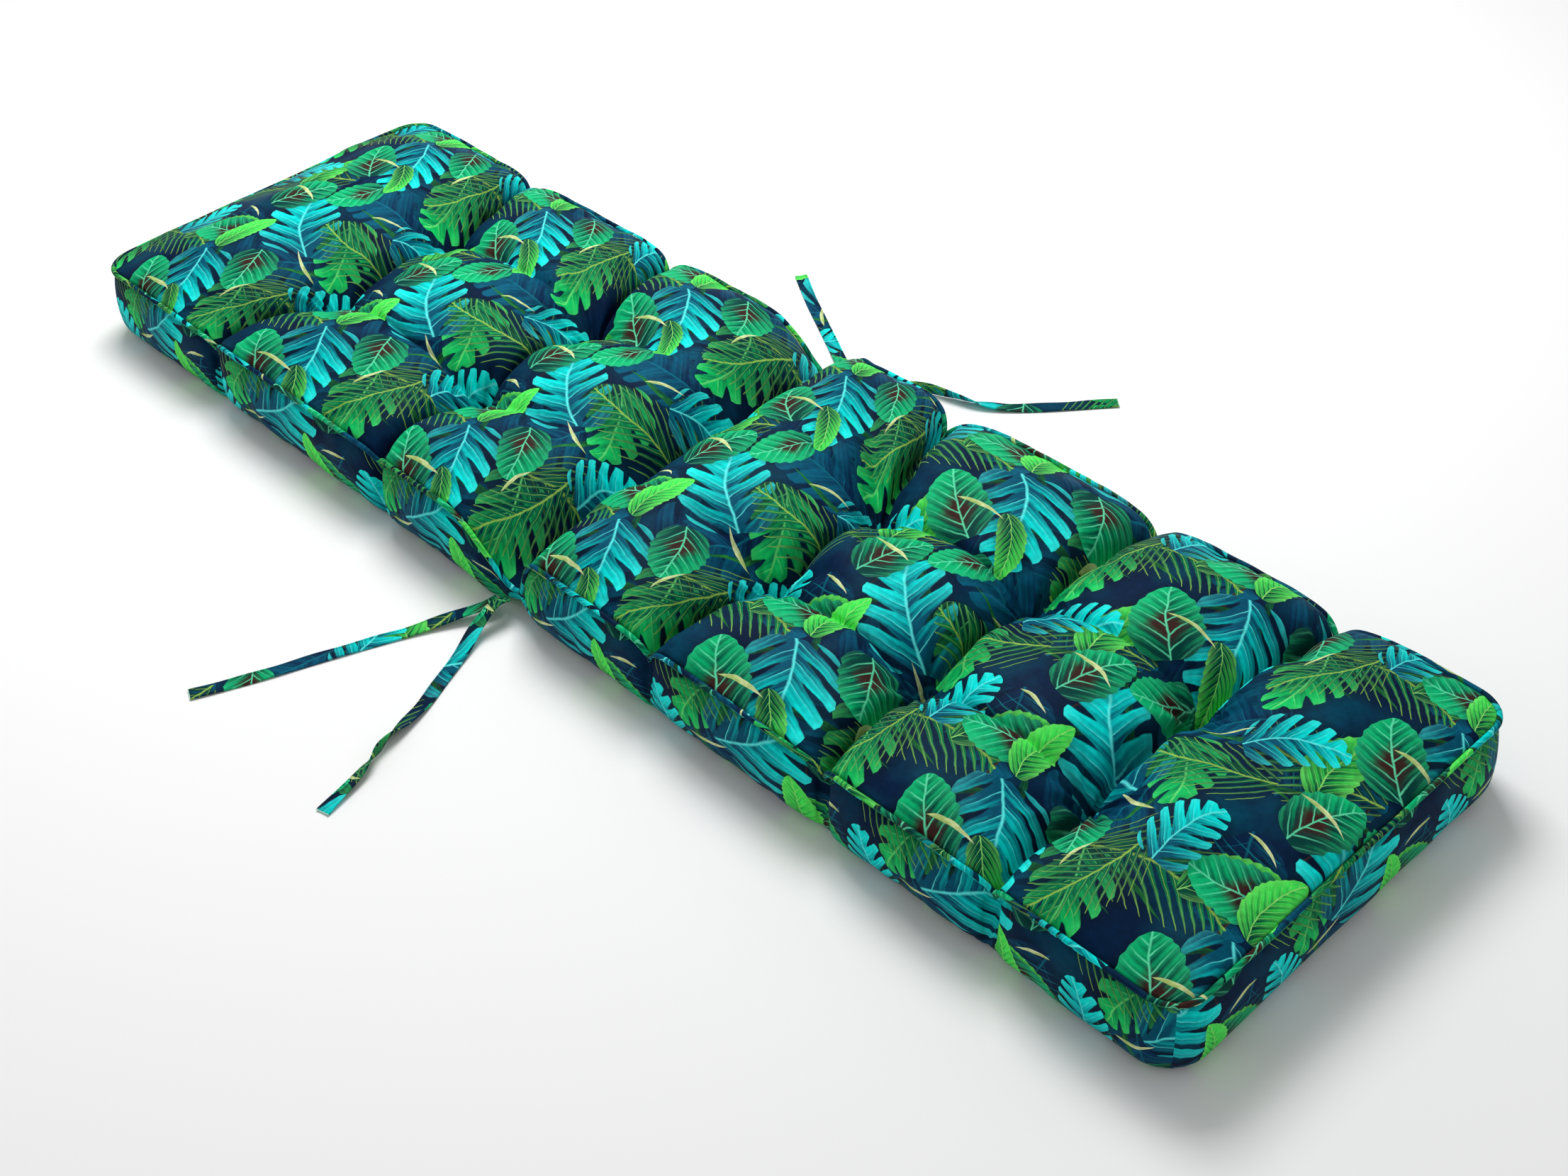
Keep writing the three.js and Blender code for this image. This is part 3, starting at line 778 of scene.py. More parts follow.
underside = cover.vertex_groups.new(name="underside")
is_low = (marked(cover, "way_up") < TOLERANCE) & (places(cover)[:, 2] < GROOVE_HEIGHT_SIDE)
underside.add(np.flatnonzero(is_low).tolist(), 1, "REPLACE")
apply_modifier(cover, "DECIMATE", ratio=UNDERSIDE_KEPT, vertex_group="underside", vertex_group_factor=1)
points = places(cover)
points[:, 2] = np.maximum(points[:, 2], 0)
put(cover, points)
bpy.ops.object.shade_smooth()
print("the cover has", len(cover.data.polygons), "faces")

# %% [markdown]
# Piping is a thin cord wrapped in a strip of the same cloth and caught in the seam. It follows the seam
# exactly, so its line is read from the cover: the marked seam points, in the order in which their edges
# join them. A flat grid is rolled into a tube along that line, and its open edges are merged.

# %% Sew in the piping
PIPING_RADIUS = 0.003
PIPING_SIDES = 12
PIPING_OUT = 0.55
PIPING_UP = 0.5
MERGE_WITHIN = 1e-6


def tube_along(name, middle, side, lift, radius, sides):
    """A closed tube round a closed line. side and lift span the section at each point of it."""
    rings = len(middle)
    tube, flat = add_grid(name, rings, sides)
    ring = line_number(flat[:, 0], rings)
    turn = (flat[:, 1] + 1) * np.pi
    here = ring % rings
    out = side[here] * np.cos(turn)[:, None] + lift[here] * np.sin(turn)[:, None]
    put(tube, middle[here] + radius * out)
    reached = reached_along(np.vstack([middle, middle[:1]]))
    set_map(tube, np.column_stack([reached[ring], turn * radius])[corners(tube)])
    bpy.ops.object.mode_set(mode="EDIT")
    bpy.ops.mesh.select_all(action="SELECT")
    bpy.ops.mesh.remove_doubles(threshold=MERGE_WITHIN)
    bpy.ops.mesh.normals_make_consistent(inside=False)
    bpy.ops.object.mode_set(mode="OBJECT")
    bpy.ops.object.shade_smooth()
    return tube, reached[-1]


def walk_round(piece, is_chosen):
    """The chosen vertices in the order in which edges join them, anticlockwise seen from above."""
    neighbours = {}
    for edge in piece.data.edges:
        first, second = edge.vertices
        if is_chosen[first] and is_chosen[second]:
            neighbours.setdefault(first, []).append(second)
            neighbours.setdefault(second, []).append(first)
    walked = [min(neighbours)]
    while len(walked) < len(neighbours):
        onward = [number for number in neighbours[walked[-1]] if number not in walked[-2:-1]]
        walked.append(onward[0])
    line = places(piece)[walked]
    following = np.roll(line, -1, axis=0)
    area = (line[:, 0] * following[:, 1] - line[:, 1] * following[:, 0]).sum()
    return line if area > 0 else line[::-1]


seam = walk_round(cover, marked(cover, "seam") > 1 - TOLERANCE)
along = unit(np.roll(seam, -1, axis=0) - np.roll(seam, 1, axis=0))
side = unit(np.cross(along, (0, 0, 1)))
lift = np.cross(side, along)
piping_middle = seam + PIPING_RADIUS * (PIPING_OUT * side + PIPING_UP * lift)
piping, piping_length = tube_along(
    "top_piping_cord", piping_middle, side, lift, PIPING_RADIUS, PIPING_SIDES
)
print("the piping is", round(piping_length, 2), "m long")

# %% [markdown]
# The thread pulls the two panels together behind the piping. So the seam's own points move a little way
# into the cushion, once the piping has taken its line from them.

# %% Draw the seam in behind the piping
SEAM_SUNK = 0.0022

is_seam_point = marked(cover, "seam") > 1 - TOLERANCE
put(cover, places(cover) - np.where(is_seam_point[:, None], normals(cover) * SEAM_SUNK, 0))
print(is_seam_point.sum(), "points of the seam are drawn in")

# %% [markdown]
# The finishes come next. The cloth carries a dense print of tropical leaves, which repeats. A leaf is
# drawn by sums alone: the point on the flat cloth is moved and turned until the leaf lies along X, and
# what is nearer to the middle line than the outline is leaf. Side veins, slits and light come from one
# saw wave. One node group draws a whole layer: it divides the cloth into cells, and a random number for
# each cell moves, turns and sizes its leaf. The numbers start again after each repeat of the print.

# %% Helpers for node trees
def feed(tree, socket, value):
    """Links a socket to another one, or gives it a plain value."""
    if isinstance(value, bpy.types.NodeSocket):
        tree.links.new(value, socket)
    else:
        socket.default_value = value


def add_node(tree, kind, values, **settings):
    """A new node, with its settings made and its inputs fed, each by its name or number."""
    node = tree.nodes.new("ShaderNode" + kind)
    for name, value in settings.items():
        setattr(node, name, value)
    for label, value in values.items():
        feed(tree, node.inputs[label], value)
    return node.outputs


def new_group(name, inputs, outputs):
    """A node group whose inputs are given as a name and a starting value."""
    kinds = {float: "NodeSocketFloat", tuple: "NodeSocketVector", list: "NodeSocketColor"}
    group = bpy.data.node_groups.new(name, "ShaderNodeTree")
    for label, value in inputs.items():
        socket = group.interface.new_socket(label, in_out="INPUT", socket_type=kinds[type(value)])
        socket.default_value = value
    for label, kind in outputs.items():
        group.interface.new_socket(label, in_out="OUTPUT", socket_type=kind)
    return group, group.nodes.new("NodeGroupInput").outputs, group.nodes.new("NodeGroupOutput").inputs


def sum_node(tree, operation, *values, clamp=False):
    return add_node(tree, "Math", dict(enumerate(values)), operation=operation, use_clamp=clamp)[0]


def vector_node(tree, operation, *values):
    return add_node(tree, "VectorMath", dict(enumerate(values)), operation=operation)[0]


def colour_mix(tree, share, first, second, kind="MIX"):
    return add_node(tree, "Mix", {0: share, 6: first, 7: second}, data_type="RGBA", blend_type=kind)[2]


def noise(tree, point, scale, detail, output="Fac"):
    return add_node(tree, "TexNoise", {"Vector": point, "Scale": scale, "Detail": detail})[output]


def place_group(tree, group, values):
    return add_node(tree, "Group", values, node_tree=group)


# %% Draw one layer of leaves
REPEAT_ALONG = 0.26
REPEAT_ACROSS = 0.34
PRINT_SOFTNESS = 0.0004
DEEP_SHADOW = [0.001, 0.006, 0.016, 1]
LEAF_SIZE_LEAST = 0.8
LEAF_SIZE_RANGE = 0.35
RIB_STEP_ON_RIGHT = 0.4
RIB_SLANT = -0.3
OUTLINE_WAVE = -0.09
OUTLINE_LEAST = 0.02
SLIT_SHARPNESS = 9
SIDE_VEIN_ENDS_AT = 1.1
MIDDLE_VEIN_SHARPNESS = -24
STROKES_PER_RIB = 4
STROKE_LIGHT = 0.12
LIGHT_AT_MIDDLE = -0.34
LIGHT_BY_CHANCE = 0.5
LIGHT_TO_TIP = 1.1
LIGHT_ON_RIGHT = 0.25
LIGHT_TO_EDGE = 0.4
LIGHT_ALONG_RIB = 0.6
HEART_AT = 0.12
HEART_FADE_ALONG = -3
HEART_FADE_ACROSS = -1.4
HEART_STRENGTH = 1.8
RIM_SHARPNESS = 4
SHADE_FADE = 1.8
SHADE_AT_OUTLINE = 0.63
SHADE_END_FADE = -20
SHADE_END_START = 10.6


def leaf_layer_group():
    group, given, result = new_group(
        "printed_leaves",
        {
            "Cloth Point": (0.0, 0.0, 0.0), "Under": [0.0, 0.0, 0.0, 1.0], "Start": (0.0, 0.0, 0.0),
            "Cell": (0.1, 0.1, 1.0), "Cells": (2.0, 2.0, 1.0), "Seed": (0.0, 0.0, 0.0),
            "Scatter": (0.02, 0.02, 0.0), "Leaf Size": (0.1, 0.03, 1.0), "Sharpness": 75.0, "Bend": 0.0,
            "Widest": 0.8, "Taper": 0.7, "Ribs": 7.0, "Slant": 0.8, "Slit": 0.0, "Slit From": 0.3,
            "Vein Width": 0.15, "Heart": 0.0, "Rim": 0.1, "Cast Shade": 0.6,
            "Blade": [0.0, 0.5, 0.2, 1.0], "Shade": [0.0, 0.1, 0.1, 1.0], "Vein": [0.5, 0.8, 0.5, 1.0],
            "Heart Colour": [0.040, 0.016, 0.013, 1.0],
        },
        {"Print": "NodeSocketColor"},
    )
    calc = partial(sum_node, group)
    vector = partial(vector_node, group)
    in_cells = vector("ADD", vector("DIVIDE", given["Cloth Point"], given["Cell"]), given["Start"])
    number = vector("WRAP", vector("FLOOR", in_cells), given["Cells"], (0, 0, 0))
    chance = add_node(group, "TexWhiteNoise", {"Vector": vector("ADD", number, given["Seed"])})["Color"]
    chances = add_node(group, "SeparateColor", {0: chance})
    to_middle = vector("MULTIPLY", vector("ADD", given["Cell"], given["Scatter"]), (-0.5, -0.5, 0))
    jump = vector("MULTIPLY_ADD", chance, given["Scatter"], to_middle)
    in_cell = vector("MULTIPLY_ADD", vector("FRACTION", in_cells), given["Cell"], jump)
    angle = calc("MULTIPLY", chances[2], 2 * math.pi)
    turned = add_node(group, "VectorRotate", {"Vector": in_cell, "Angle": angle}, rotation_type="Z_AXIS")[0]
    size = calc("MULTIPLY_ADD", chances[1], LEAF_SIZE_RANGE, LEAF_SIZE_LEAST)
    on_leaf = vector("DIVIDE", turned, vector("MULTIPLY", given["Leaf Size"], size))
    parts = add_node(group, "SeparateXYZ", {0: on_leaf})
    from_centre = parts["X"]

    length_share = calc("ADD", from_centre, 0.5, clamp=True)
    bow = calc("MULTIPLY", from_centre, from_centre)
    across = calc("MULTIPLY_ADD", bow, calc("MULTIPLY", given["Bend"], 4), parts["Y"])
    off_middle = calc("ABSOLUTE", across)
    is_right = calc("GREATER_THAN", across, 0)
    rib_step = calc("MULTIPLY", is_right, RIB_STEP_ON_RIGHT)
    straight_ribs = calc("MULTIPLY_ADD", length_share, given["Ribs"], rib_step)
    slant = calc("MULTIPLY", calc("MULTIPLY", given["Slant"], given["Ribs"]), RIB_SLANT)
    rib_count = calc("MULTIPLY_ADD", off_middle, slant, straight_ribs)
    saw = calc("FRACT", rib_count)
    from_rib = calc("ABSOLUTE", calc("MULTIPLY_ADD", saw, 2, -1))

    eased = calc("POWER", length_share, given["Widest"])
    hump = calc("MULTIPLY", calc("MULTIPLY", eased, 4), calc("SUBTRACT", 1, eased))
    wavy = calc("MULTIPLY_ADD", from_rib, OUTLINE_WAVE, 1)
    outline = calc("MULTIPLY", calc("POWER", hump, given["Taper"]), wavy)
    inside = calc("SUBTRACT", outline, off_middle)
    mask = calc("MULTIPLY", inside, given["Sharpness"], clamp=True)

    reached = calc("DIVIDE", off_middle, calc("MAXIMUM", outline, OUTLINE_LEAST))
    opening = calc("SQRT", calc("SUBTRACT", reached, given["Slit From"], clamp=True))
    slit_edge = calc("MULTIPLY_ADD", opening, calc("MULTIPLY", given["Slit"], -1), 1)
    slit = calc("MULTIPLY", calc("SUBTRACT", from_rib, slit_edge), SLIT_SHARPNESS, clamp=True)
    mask = calc("MULTIPLY", mask, calc("SUBTRACT", 1, slit))

    side_vein = calc("SUBTRACT", 1, calc("DIVIDE", from_rib, given["Vein Width"]), clamp=True)
    side_vein = calc("MULTIPLY", side_vein, calc("SUBTRACT", SIDE_VEIN_ENDS_AT, reached, clamp=True))
    middle_vein = calc("MULTIPLY_ADD", off_middle, MIDDLE_VEIN_SHARPNESS, 1, clamp=True)
    veins = calc("MAXIMUM", side_vein, middle_vein)

    strokes = calc("SINE", calc("MULTIPLY", rib_count, 2 * math.pi * STROKES_PER_RIB))
    light = calc("MULTIPLY_ADD", chances[0], LIGHT_BY_CHANCE, LIGHT_AT_MIDDLE)
    light = calc("MULTIPLY_ADD", strokes, STROKE_LIGHT, light)
    light = calc("MULTIPLY_ADD", from_centre, LIGHT_TO_TIP, light)
    light = calc("MULTIPLY_ADD", is_right, LIGHT_ON_RIGHT, light)
    light = calc("MULTIPLY_ADD", reached, LIGHT_TO_EDGE, light)
    light = calc("MULTIPLY_ADD", saw, LIGHT_ALONG_RIB, light, clamp=True)
    colour = colour_mix(group, light, given["Shade"], given["Blade"])
    from_heart = calc("ABSOLUTE", calc("ADD", from_centre, HEART_AT))
    heart = calc("MULTIPLY_ADD", off_middle, HEART_FADE_ACROSS, 1)
    heart = calc("MULTIPLY_ADD", from_heart, HEART_FADE_ALONG, heart)
    heart = calc("MULTIPLY", heart, calc("MULTIPLY", given["Heart"], HEART_STRENGTH), clamp=True)
    colour = colour_mix(group, heart, colour, given["Heart Colour"])
    rim = calc("MULTIPLY", calc("POWER", reached, RIM_SHARPNESS), given["Rim"], clamp=True)
    colour = colour_mix(group, calc("MAXIMUM", veins, rim), colour, given["Vein"])

    near_leaf = calc("MULTIPLY_ADD", inside, SHADE_FADE, SHADE_AT_OUTLINE, clamp=True)
    to_ends = calc("MULTIPLY_ADD", calc("ABSOLUTE", from_centre), SHADE_END_FADE, SHADE_END_START, clamp=True)
    cast = calc("MULTIPLY", calc("MULTIPLY", near_leaf, to_ends), given["Cast Shade"])
    under = colour_mix(group, cast, given["Under"], DEEP_SHADOW)
    feed(group, result["Print"], colour_mix(group, mask, under, colour))
    return group


printed_leaves = leaf_layer_group()

# %% [markdown]
# The kinds of leaf differ only in these values. The layers say how many cells each repeat has along and
# across, and where the first cell starts. Sizes are whole lengths and widths, as a ruler on the cloth
# would read them. A leaf has to stay inside its cell, so long leaves get large cells.

# %% The kinds of leaf
LEAF_KINDS = {
    "shadow": {
        "Ribs": 5.0, "Slit": 0.5, "Slit From": 0.3, "Vein Width": 0.06, "Rim": 0.0, "Cast Shade": 0.2,
        "Blade": [0.001, 0.105, 0.185, 1], "Shade": [0.001, 0.020, 0.066, 1], "Vein": [0.002, 0.15, 0.22, 1],
    },
    "stem": {
        "Ribs": 1.0, "Slant": 0.0, "Bend": 5.0, "Taper": 0.3, "Rim": 0.0, "Cast Shade": 0.0,
        "Blade": [0.072, 0.042, 0.024, 1], "Shade": [0.024, 0.014, 0.014, 1], "Vein": [0.09, 0.065, 0.026, 1],
    },
    "fern": {
        "Ribs": 8.0, "Slant": 1.7, "Slit": 1.1, "Slit From": 0.0, "Vein Width": 0.2, "Bend": 0.35,
        "Widest": 0.7, "Taper": 0.5, "Rim": 0.7, "Cast Shade": 0.2,
        "Blade": [0.002, 0.16, 0.21, 1], "Shade": [0.001, 0.055, 0.10, 1], "Vein": [0.004, 0.30, 0.36, 1],
    },
    "grass": {
        "Ribs": 2.0, "Slant": 0.0, "Widest": 0.6, "Taper": 0.9, "Bend": 1.6, "Rim": 0.0, "Cast Shade": 0.0,
        "Blade": [0.016, 0.19, 0.035, 1], "Shade": [0.002, 0.065, 0.035, 1], "Vein": [0.03, 0.26, 0.05, 1],
    },
    "palm": {
        "Ribs": 10.0, "Slant": 1.5, "Slit": 1.0, "Slit From": 0.0, "Vein Width": 0.1, "Bend": 0.3,
        "Widest": 0.75, "Taper": 0.5, "Rim": 1.0, "Cast Shade": 0.3,
        "Blade": [0.002, 0.22, 0.070, 1], "Shade": [0.0, 0.052, 0.045, 1], "Vein": [0.34, 0.60, 0.09, 1],
    },
    "oval": {
        "Ribs": 6.0, "Slant": 1.2, "Vein Width": 0.20, "Heart": 1.0, "Bend": 0.15, "Taper": 0.6,
        "Blade": [0.001, 0.46, 0.165, 1], "Shade": [0.0, 0.047, 0.040, 1], "Vein": [0.13, 0.80, 0.44, 1],
    },
    "split": {
        "Ribs": 5.0, "Slant": 1.1, "Slit": 0.62, "Slit From": 0.25, "Vein Width": 0.07, "Bend": 0.25,
        "Widest": 0.62, "Taper": 0.5, "Rim": 0.25,
        "Blade": [0.0, 0.82, 0.76, 1], "Shade": [0.0, 0.078, 0.140, 1], "Vein": [0.12, 0.90, 0.86, 1],
    },
    "cut": {
        "Ribs": 4.0, "Slant": 1.3, "Slit": 0.7, "Slit From": 0.35, "Vein Width": 0.07, "Bend": 0.3,
        "Widest": 0.62, "Taper": 0.5, "Rim": 0.3,
        "Blade": [0.006, 0.58, 0.130, 1], "Shade": [0.0, 0.050, 0.045, 1], "Vein": [0.16, 0.82, 0.20, 1],
    },
    "broad": {
        "Ribs": 9.0, "Slant": 1.1, "Vein Width": 0.13, "Bend": 0.5, "Widest": 0.8, "Taper": 0.6, "Rim": 0.35,
        "Blade": [0.060, 0.84, 0.100, 1], "Shade": [0.0, 0.068, 0.038, 1], "Vein": [0.36, 0.90, 0.20, 1],
    },
    "sliver": {
        "Ribs": 1.0, "Slant": 0.0, "Taper": 1.0, "Bend": 1.5, "Rim": 0.0, "Cast Shade": 0.0,
        "Blade": [0.72, 0.80, 0.42, 1], "Shade": [0.36, 0.50, 0.14, 1], "Vein": [0.70, 0.76, 0.40, 1],
    },
}
Layer = namedtuple("Layer", "kind cells_along cells_across start_x start_y seed scatter length width")
LAYERS = [
    Layer("shadow", 1, 2, 0.00, 0.00, 3, 0.03, 0.150, 0.110),
    Layer("shadow", 2, 2, 0.35, 0.18, 8, 0.02, 0.120, 0.085),
    Layer("stem", 1, 2, 0.30, 0.60, 14, 0.06, 0.130, 0.004),
    Layer("fern", 1, 2, 0.50, 0.25, 21, 0.03, 0.130, 0.100),
    Layer("grass", 2, 3, 0.15, 0.30, 1, 0.02, 0.112, 0.009),
    Layer("grass", 2, 2, 0.80, 0.60, 5, 0.02, 0.122, 0.009),
    Layer("palm", 1, 2, 0.55, 0.30, 2, 0.03, 0.132, 0.100),
    Layer("cut", 1, 2, 0.80, 0.80, 17, 0.04, 0.110, 0.086),
    Layer("split", 1, 2, 0.15, 0.75, 6, 0.03, 0.130, 0.100),
    Layer("broad", 1, 2, 0.45, 0.10, 7, 0.03, 0.096, 0.048),
    Layer("oval", 1, 3, 0.40, 0.55, 4, 0.02, 0.086, 0.066),
    Layer("palm", 1, 2, 0.75, 0.60, 9, 0.03, 0.112, 0.070),
    Layer("split", 1, 2, 0.65, 0.25, 12, 0.05, 0.104, 0.076),
    Layer("oval", 1, 2, 0.05, 0.35, 26, 0.05, 0.078, 0.060),
    Layer("broad", 1, 2, 0.20, 0.05, 31, 0.06, 0.078, 0.036),
    Layer("sliver", 2, 3, 0.25, 0.30, 11, 0.05, 0.050, 0.005),
]


# %% Lay out the print
GROUND_DEEP = [0.001, 0.014, 0.050, 1]
GROUND_LIGHT = [0.0, 0.056, 0.104, 1]
GROUND_PATCHES_PER_METRE = 14
GROUND_PATCH_FROM = 0.42
GROUND_PATCH_CONTRAST = 3.5
HAND_DRAWN_WARP = 0.0065
HAND_DRAWN_PER_METRE = 32
STROKES_PER_METRE = 160
STROKE_RANGE = 0.7
STROKE_LEAST = 0.62
NOISE_DETAIL = 3


def print_group():
    group, given, result = new_group(
        "leaf_print", {"Cloth Point": (0.0, 0.0, 0.0)}, {"Print": "NodeSocketColor"},
    )
    calc = partial(sum_node, group)
    vector = partial(vector_node, group)
    wobble = noise(group, given["Cloth Point"], HAND_DRAWN_PER_METRE, NOISE_DETAIL, output="Color")
    wobble = vector("SUBTRACT", wobble, (0.5, 0.5, 0.5))
    wobble = vector("MULTIPLY", wobble, (HAND_DRAWN_WARP, HAND_DRAWN_WARP, 0))
    point = vector("ADD", given["Cloth Point"], wobble)
    patches = noise(group, given["Cloth Point"], GROUND_PATCHES_PER_METRE, NOISE_DETAIL)
    patches = calc("SUBTRACT", patches, GROUND_PATCH_FROM)
    patches = calc("MULTIPLY", patches, GROUND_PATCH_CONTRAST, clamp=True)
    print_so_far = colour_mix(group, patches, GROUND_DEEP, GROUND_LIGHT)
    for layer in LAYERS:
        layer_values = {
            "Cloth Point": point, "Under": print_so_far, "Start": (layer.start_x, layer.start_y, 0),
            "Cell": (REPEAT_ALONG / layer.cells_along, REPEAT_ACROSS / layer.cells_across, 1),
            "Cells": (layer.cells_along, layer.cells_across, 1), "Seed": (layer.seed, 0, 0),
            "Scatter": (layer.scatter, layer.scatter, 0), "Leaf Size": (layer.length, layer.width / 2, 1),
            "Sharpness": layer.width / 2 / PRINT_SOFTNESS,
        }
        print_so_far = place_group(group, printed_leaves, layer_values | LEAF_KINDS[layer.kind])["Print"]
    strokes = noise(group, point, STROKES_PER_METRE, NOISE_DETAIL)
    strokes = calc("MULTIPLY_ADD", strokes, STROKE_RANGE, STROKE_LEAST)
    feed(group, result["Print"], colour_mix(group, 1.0, print_so_far, strokes, kind="MULTIPLY"))
    return group


leaf_print = print_group()
leaf_count = sum(layer.cells_along * layer.cells_across for layer in LAYERS)
print("the print has", leaf_count, "leaves in each repeat")

# %% [markdown]
# Up close the cloth is a fine, smooth weave. Its threads are half a millimetre apart, so they only show
# as a little roughness, and as a bump where the light grazes the cloth.

# %% Weave
THREADS_PER_METRE = 1900.0
SLUBS_PER_METRE = 900
SLUB_DETAIL = 2
ROUGH_PATCHES_PER_METRE = 40
ROUGHNESS_RANGE = 0.16
ROUGHNESS_LEAST = 0.50


def weave_group():
    group, given, result = new_group(
        "fine_weave",
        {"Cloth Point": (0.0, 0.0, 0.0), "Threads": THREADS_PER_METRE},
        {"Height": "NodeSocketFloat", "Roughness": "NodeSocketFloat"},
    )
    calc = partial(sum_node, group)
    parts = add_node(group, "SeparateXYZ", {0: given["Cloth Point"]})
    per_metre = calc("MULTIPLY", given["Threads"], math.pi)
    warp_threads = calc("SINE", calc("MULTIPLY", parts["X"], per_metre))
    weft_threads = calc("SINE", calc("MULTIPLY", parts["Y"], per_metre))
    height = calc("MULTIPLY", warp_threads, weft_threads)
    slubs = noise(group, given["Cloth Point"], SLUBS_PER_METRE, SLUB_DETAIL)
    feed(group, result["Height"], calc("ADD", height, slubs))
    rough = noise(group, given["Cloth Point"], ROUGH_PATCHES_PER_METRE, NOISE_DETAIL)
    rough = calc("MULTIPLY_ADD", rough, ROUGHNESS_RANGE, ROUGHNESS_LEAST)
    feed(group, result["Roughness"], rough)
    return group


fine_weave = weave_group()

# %% [markdown]
# A tie is a strip folded lengthwise and closed by a row of stitches near one edge. Its free end is cut,
# so the paler back of the cloth shows there. Both are masks, read from a second UV map on each strip.

# %% Stitches and cut ends of the ties
STITCHES_PER_METRE = 330.0
STITCH_SHARE = 0.7
STITCH_FROM_MIDDLE = 0.0058
STITCH_HALF_WIDTH = 0.00035
CUT_END = 0.0009
THREAD_COLOUR = [0.001, 0.010, 0.018, 1]
PALE_BACK_OF_CLOTH = [0.42, 0.70, 0.56, 1]


def tie_trim_group():
    """Where a tie shows its stitches, and where the pale back of the cloth shows at its cut end."""
    group, given, result = new_group(
        "tie_trim",
        {"Strip Point": (0.0, 0.0, 0.0)},
        {"Stitch": "NodeSocketFloat", "Cut End": "NodeSocketFloat"},
    )
    calc = partial(sum_node, group)
    parts = add_node(group, "SeparateXYZ", {0: given["Strip Point"]})
    off_line = calc("ABSOLUTE", calc("SUBTRACT", parts["Y"], STITCH_FROM_MIDDLE))
    on_line = calc("LESS_THAN", off_line, STITCH_HALF_WIDTH)
    beat = calc("FRACT", calc("MULTIPLY", parts["X"], STITCHES_PER_METRE))
    on_stitch = calc("LESS_THAN", beat, STITCH_SHARE)
    feed(group, result["Stitch"], calc("MULTIPLY", on_line, on_stitch))
    feed(group, result["Cut End"], calc("LESS_THAN", parts["X"], CUT_END))
    return group


tie_trim = tie_trim_group()

# %% [markdown]
# All pieces are cut from the same cloth, so one function makes their materials. The piping is cut on the
# bias, at 45 degrees to the threads, because cloth cut that way bends round corners without creasing.
# The cloth is matt, so its shine is kept low.

# %% Printed cloth for the cover, the piping and the ties
BIAS_CUT = 45
BUMP_HEIGHT = 0.00004
BUMP_STRENGTH = 0.5
SHEEN = 0.01
SHEEN_ROUGHNESS = 0.4
SHINE = 0.04


def printed_cloth(name, turn, is_tie=False):
    """The same cloth for each piece, its print turned as the piece was cut."""
    finish = bpy.data.materials.new(name)
    finish.use_nodes = True
    tree = finish.node_tree
    on_cloth = add_node(tree, "UVMap", {}, uv_map="cloth")["UV"]
    point = add_node(tree, "Mapping", {"Vector": on_cloth, "Rotation": (0, 0, math.radians(turn))})["Vector"]
    colour = place_group(tree, leaf_print, {"Cloth Point": point})["Print"]
    if is_tie:
        on_strip = add_node(tree, "UVMap", {}, uv_map="strip")["UV"]
        trim = place_group(tree, tie_trim, {"Strip Point": on_strip})
        colour = colour_mix(tree, trim["Stitch"], colour, THREAD_COLOUR)
        colour = colour_mix(tree, trim["Cut End"], colour, PALE_BACK_OF_CLOTH)
    weave = place_group(tree, fine_weave, {"Cloth Point": point})
    bump_values = {"Distance": BUMP_HEIGHT, "Strength": BUMP_STRENGTH, "Height": weave["Height"]}
    shader_values = {
        "Base Color": colour, "Roughness": weave["Roughness"],
        "Normal": add_node(tree, "Bump", bump_values)["Normal"],
        "Sheen Weight": SHEEN, "Sheen Roughness": SHEEN_ROUGHNESS, "Specular IOR Level": SHINE,
    }
    for label, value in shader_values.items():
        feed(tree, tree.nodes["Principled BSDF"].inputs[label], value)
    return finish


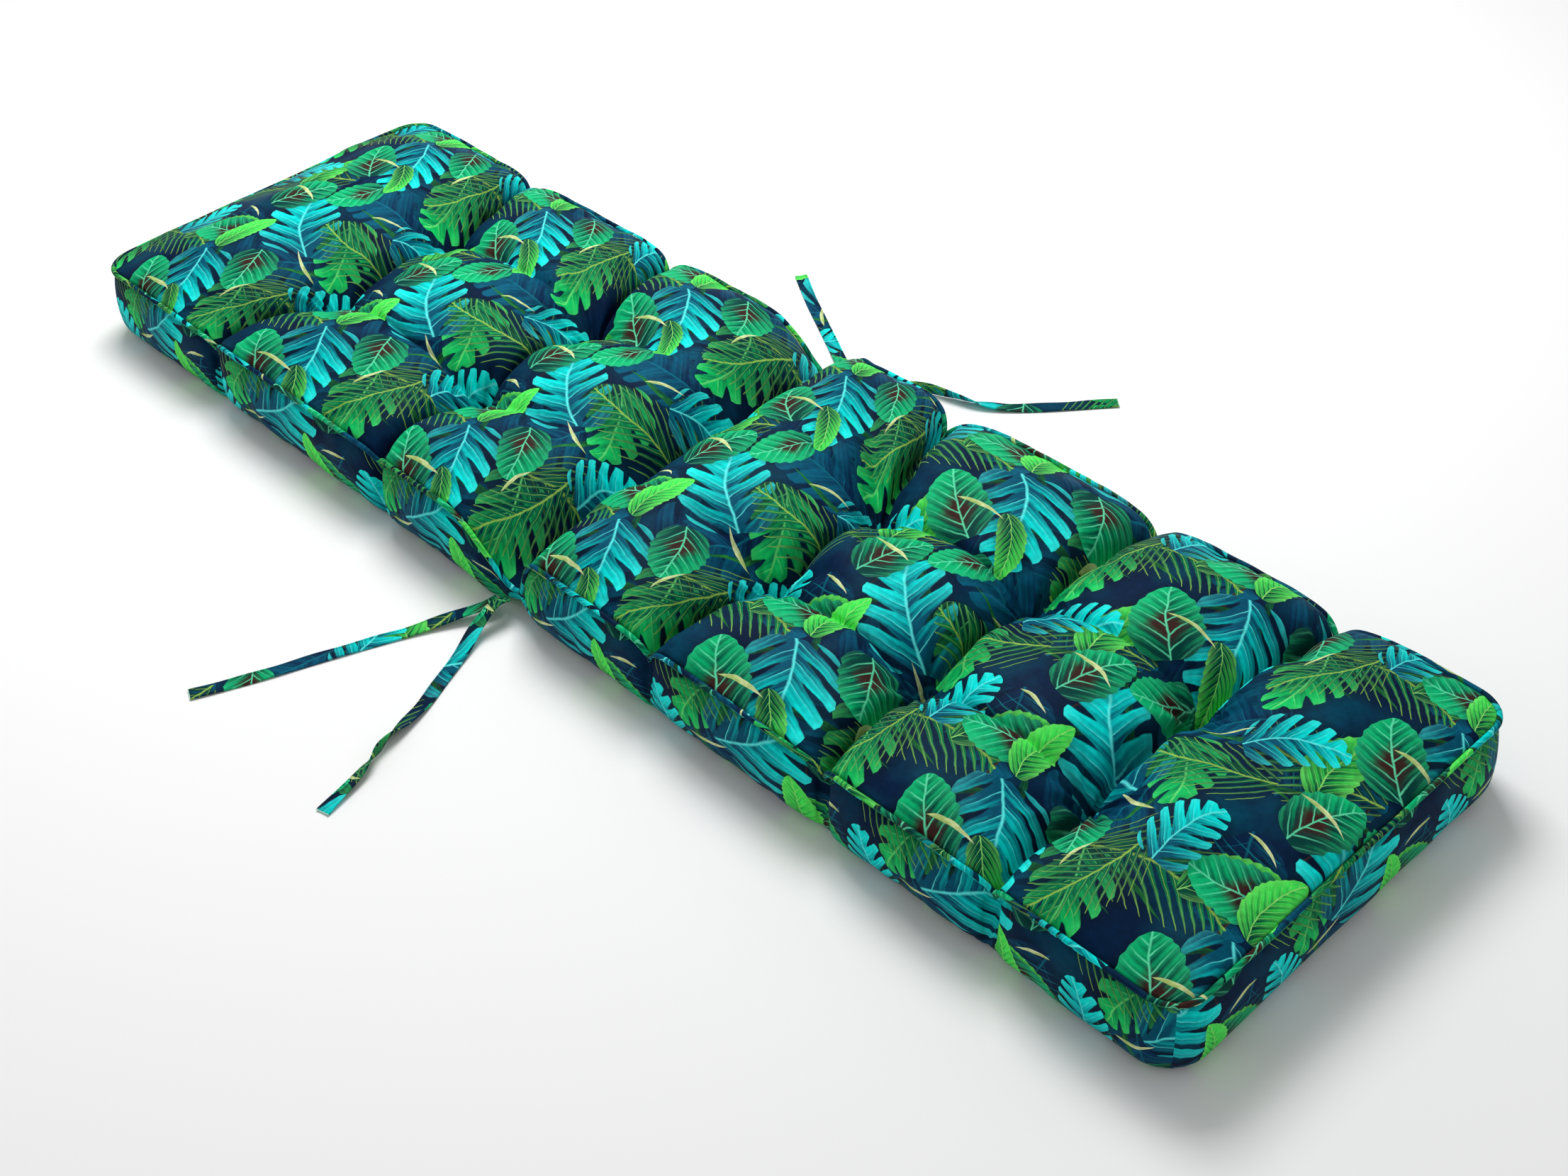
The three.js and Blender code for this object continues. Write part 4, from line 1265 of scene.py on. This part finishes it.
cover.data.materials.append(printed_cloth("printed_cover_cloth", 0))
piping.data.materials.append(printed_cloth("printed_piping_cloth", BIAS_CUT))
tie_cloth = printed_cloth("printed_tie_cloth", 0, is_tie=True)
for strip in ties.values():
    strip.data.materials.append(tie_cloth)
print("materials:", [finish.name for finish in bpy.data.materials if finish.name.startswith("printed")])

# %% [markdown]
# The ground and the light stay plain: a pale floor, a bright even surround and one large soft lamp.

# %% Floor and light
FLOOR_SIZE = 12
FLOOR_HEIGHT = -0.0004
FLOOR_COLOUR = (0.92, 0.92, 0.92, 1)
FLOOR_ROUGHNESS = 0.9
LAMP_PLACE = (-0.9, 0.7, 2.3)
LAMP_SIZE = 1.3
LAMP_POWER = 60
SURROUND_COLOUR = (1, 1, 1, 1)
SURROUND_STRENGTH = 0.46

bpy.ops.object.select_all(action="DESELECT")
bpy.ops.mesh.primitive_plane_add(size=FLOOR_SIZE, location=(0, 0, FLOOR_HEIGHT))
floor = bpy.context.object
floor.name = "floor"
floor_finish = bpy.data.materials.new("pale_floor")
floor_finish.use_nodes = True
floor_shader = floor_finish.node_tree.nodes["Principled BSDF"]
floor_shader.inputs["Base Color"].default_value = FLOOR_COLOUR
floor_shader.inputs["Roughness"].default_value = FLOOR_ROUGHNESS
floor.data.materials.append(floor_finish)

bpy.ops.object.light_add(type="AREA", location=LAMP_PLACE)
lamp = bpy.context.object
lamp.name = "soft_lamp"
lamp.data.size = LAMP_SIZE
lamp.data.energy = LAMP_POWER
lamp.rotation_euler = (-Vector(LAMP_PLACE)).to_track_quat("-Z", "Y").to_euler()

surround = bpy.data.worlds.new("surround")
surround.use_nodes = True
background = surround.node_tree.nodes["Background"]
background.inputs["Color"].default_value = SURROUND_COLOUR
background.inputs["Strength"].default_value = SURROUND_STRENGTH
bpy.context.scene.world = surround
bpy.context.scene.view_settings.view_transform = "Standard"
print("the lamp gives", LAMP_POWER, "watts from", LAMP_PLACE)

# %% [markdown]
# Last, each piece is told what it rides on, and the plain solids that the cover and the piping replace are
# hidden.
# The whole model's size is written down beside the frame's, so the two can be compared.

# %% Finish
for piece in [*ties.values(), cover, piping]:
    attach(piece, "root")
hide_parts("filled_cushion")
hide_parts("top_piping")
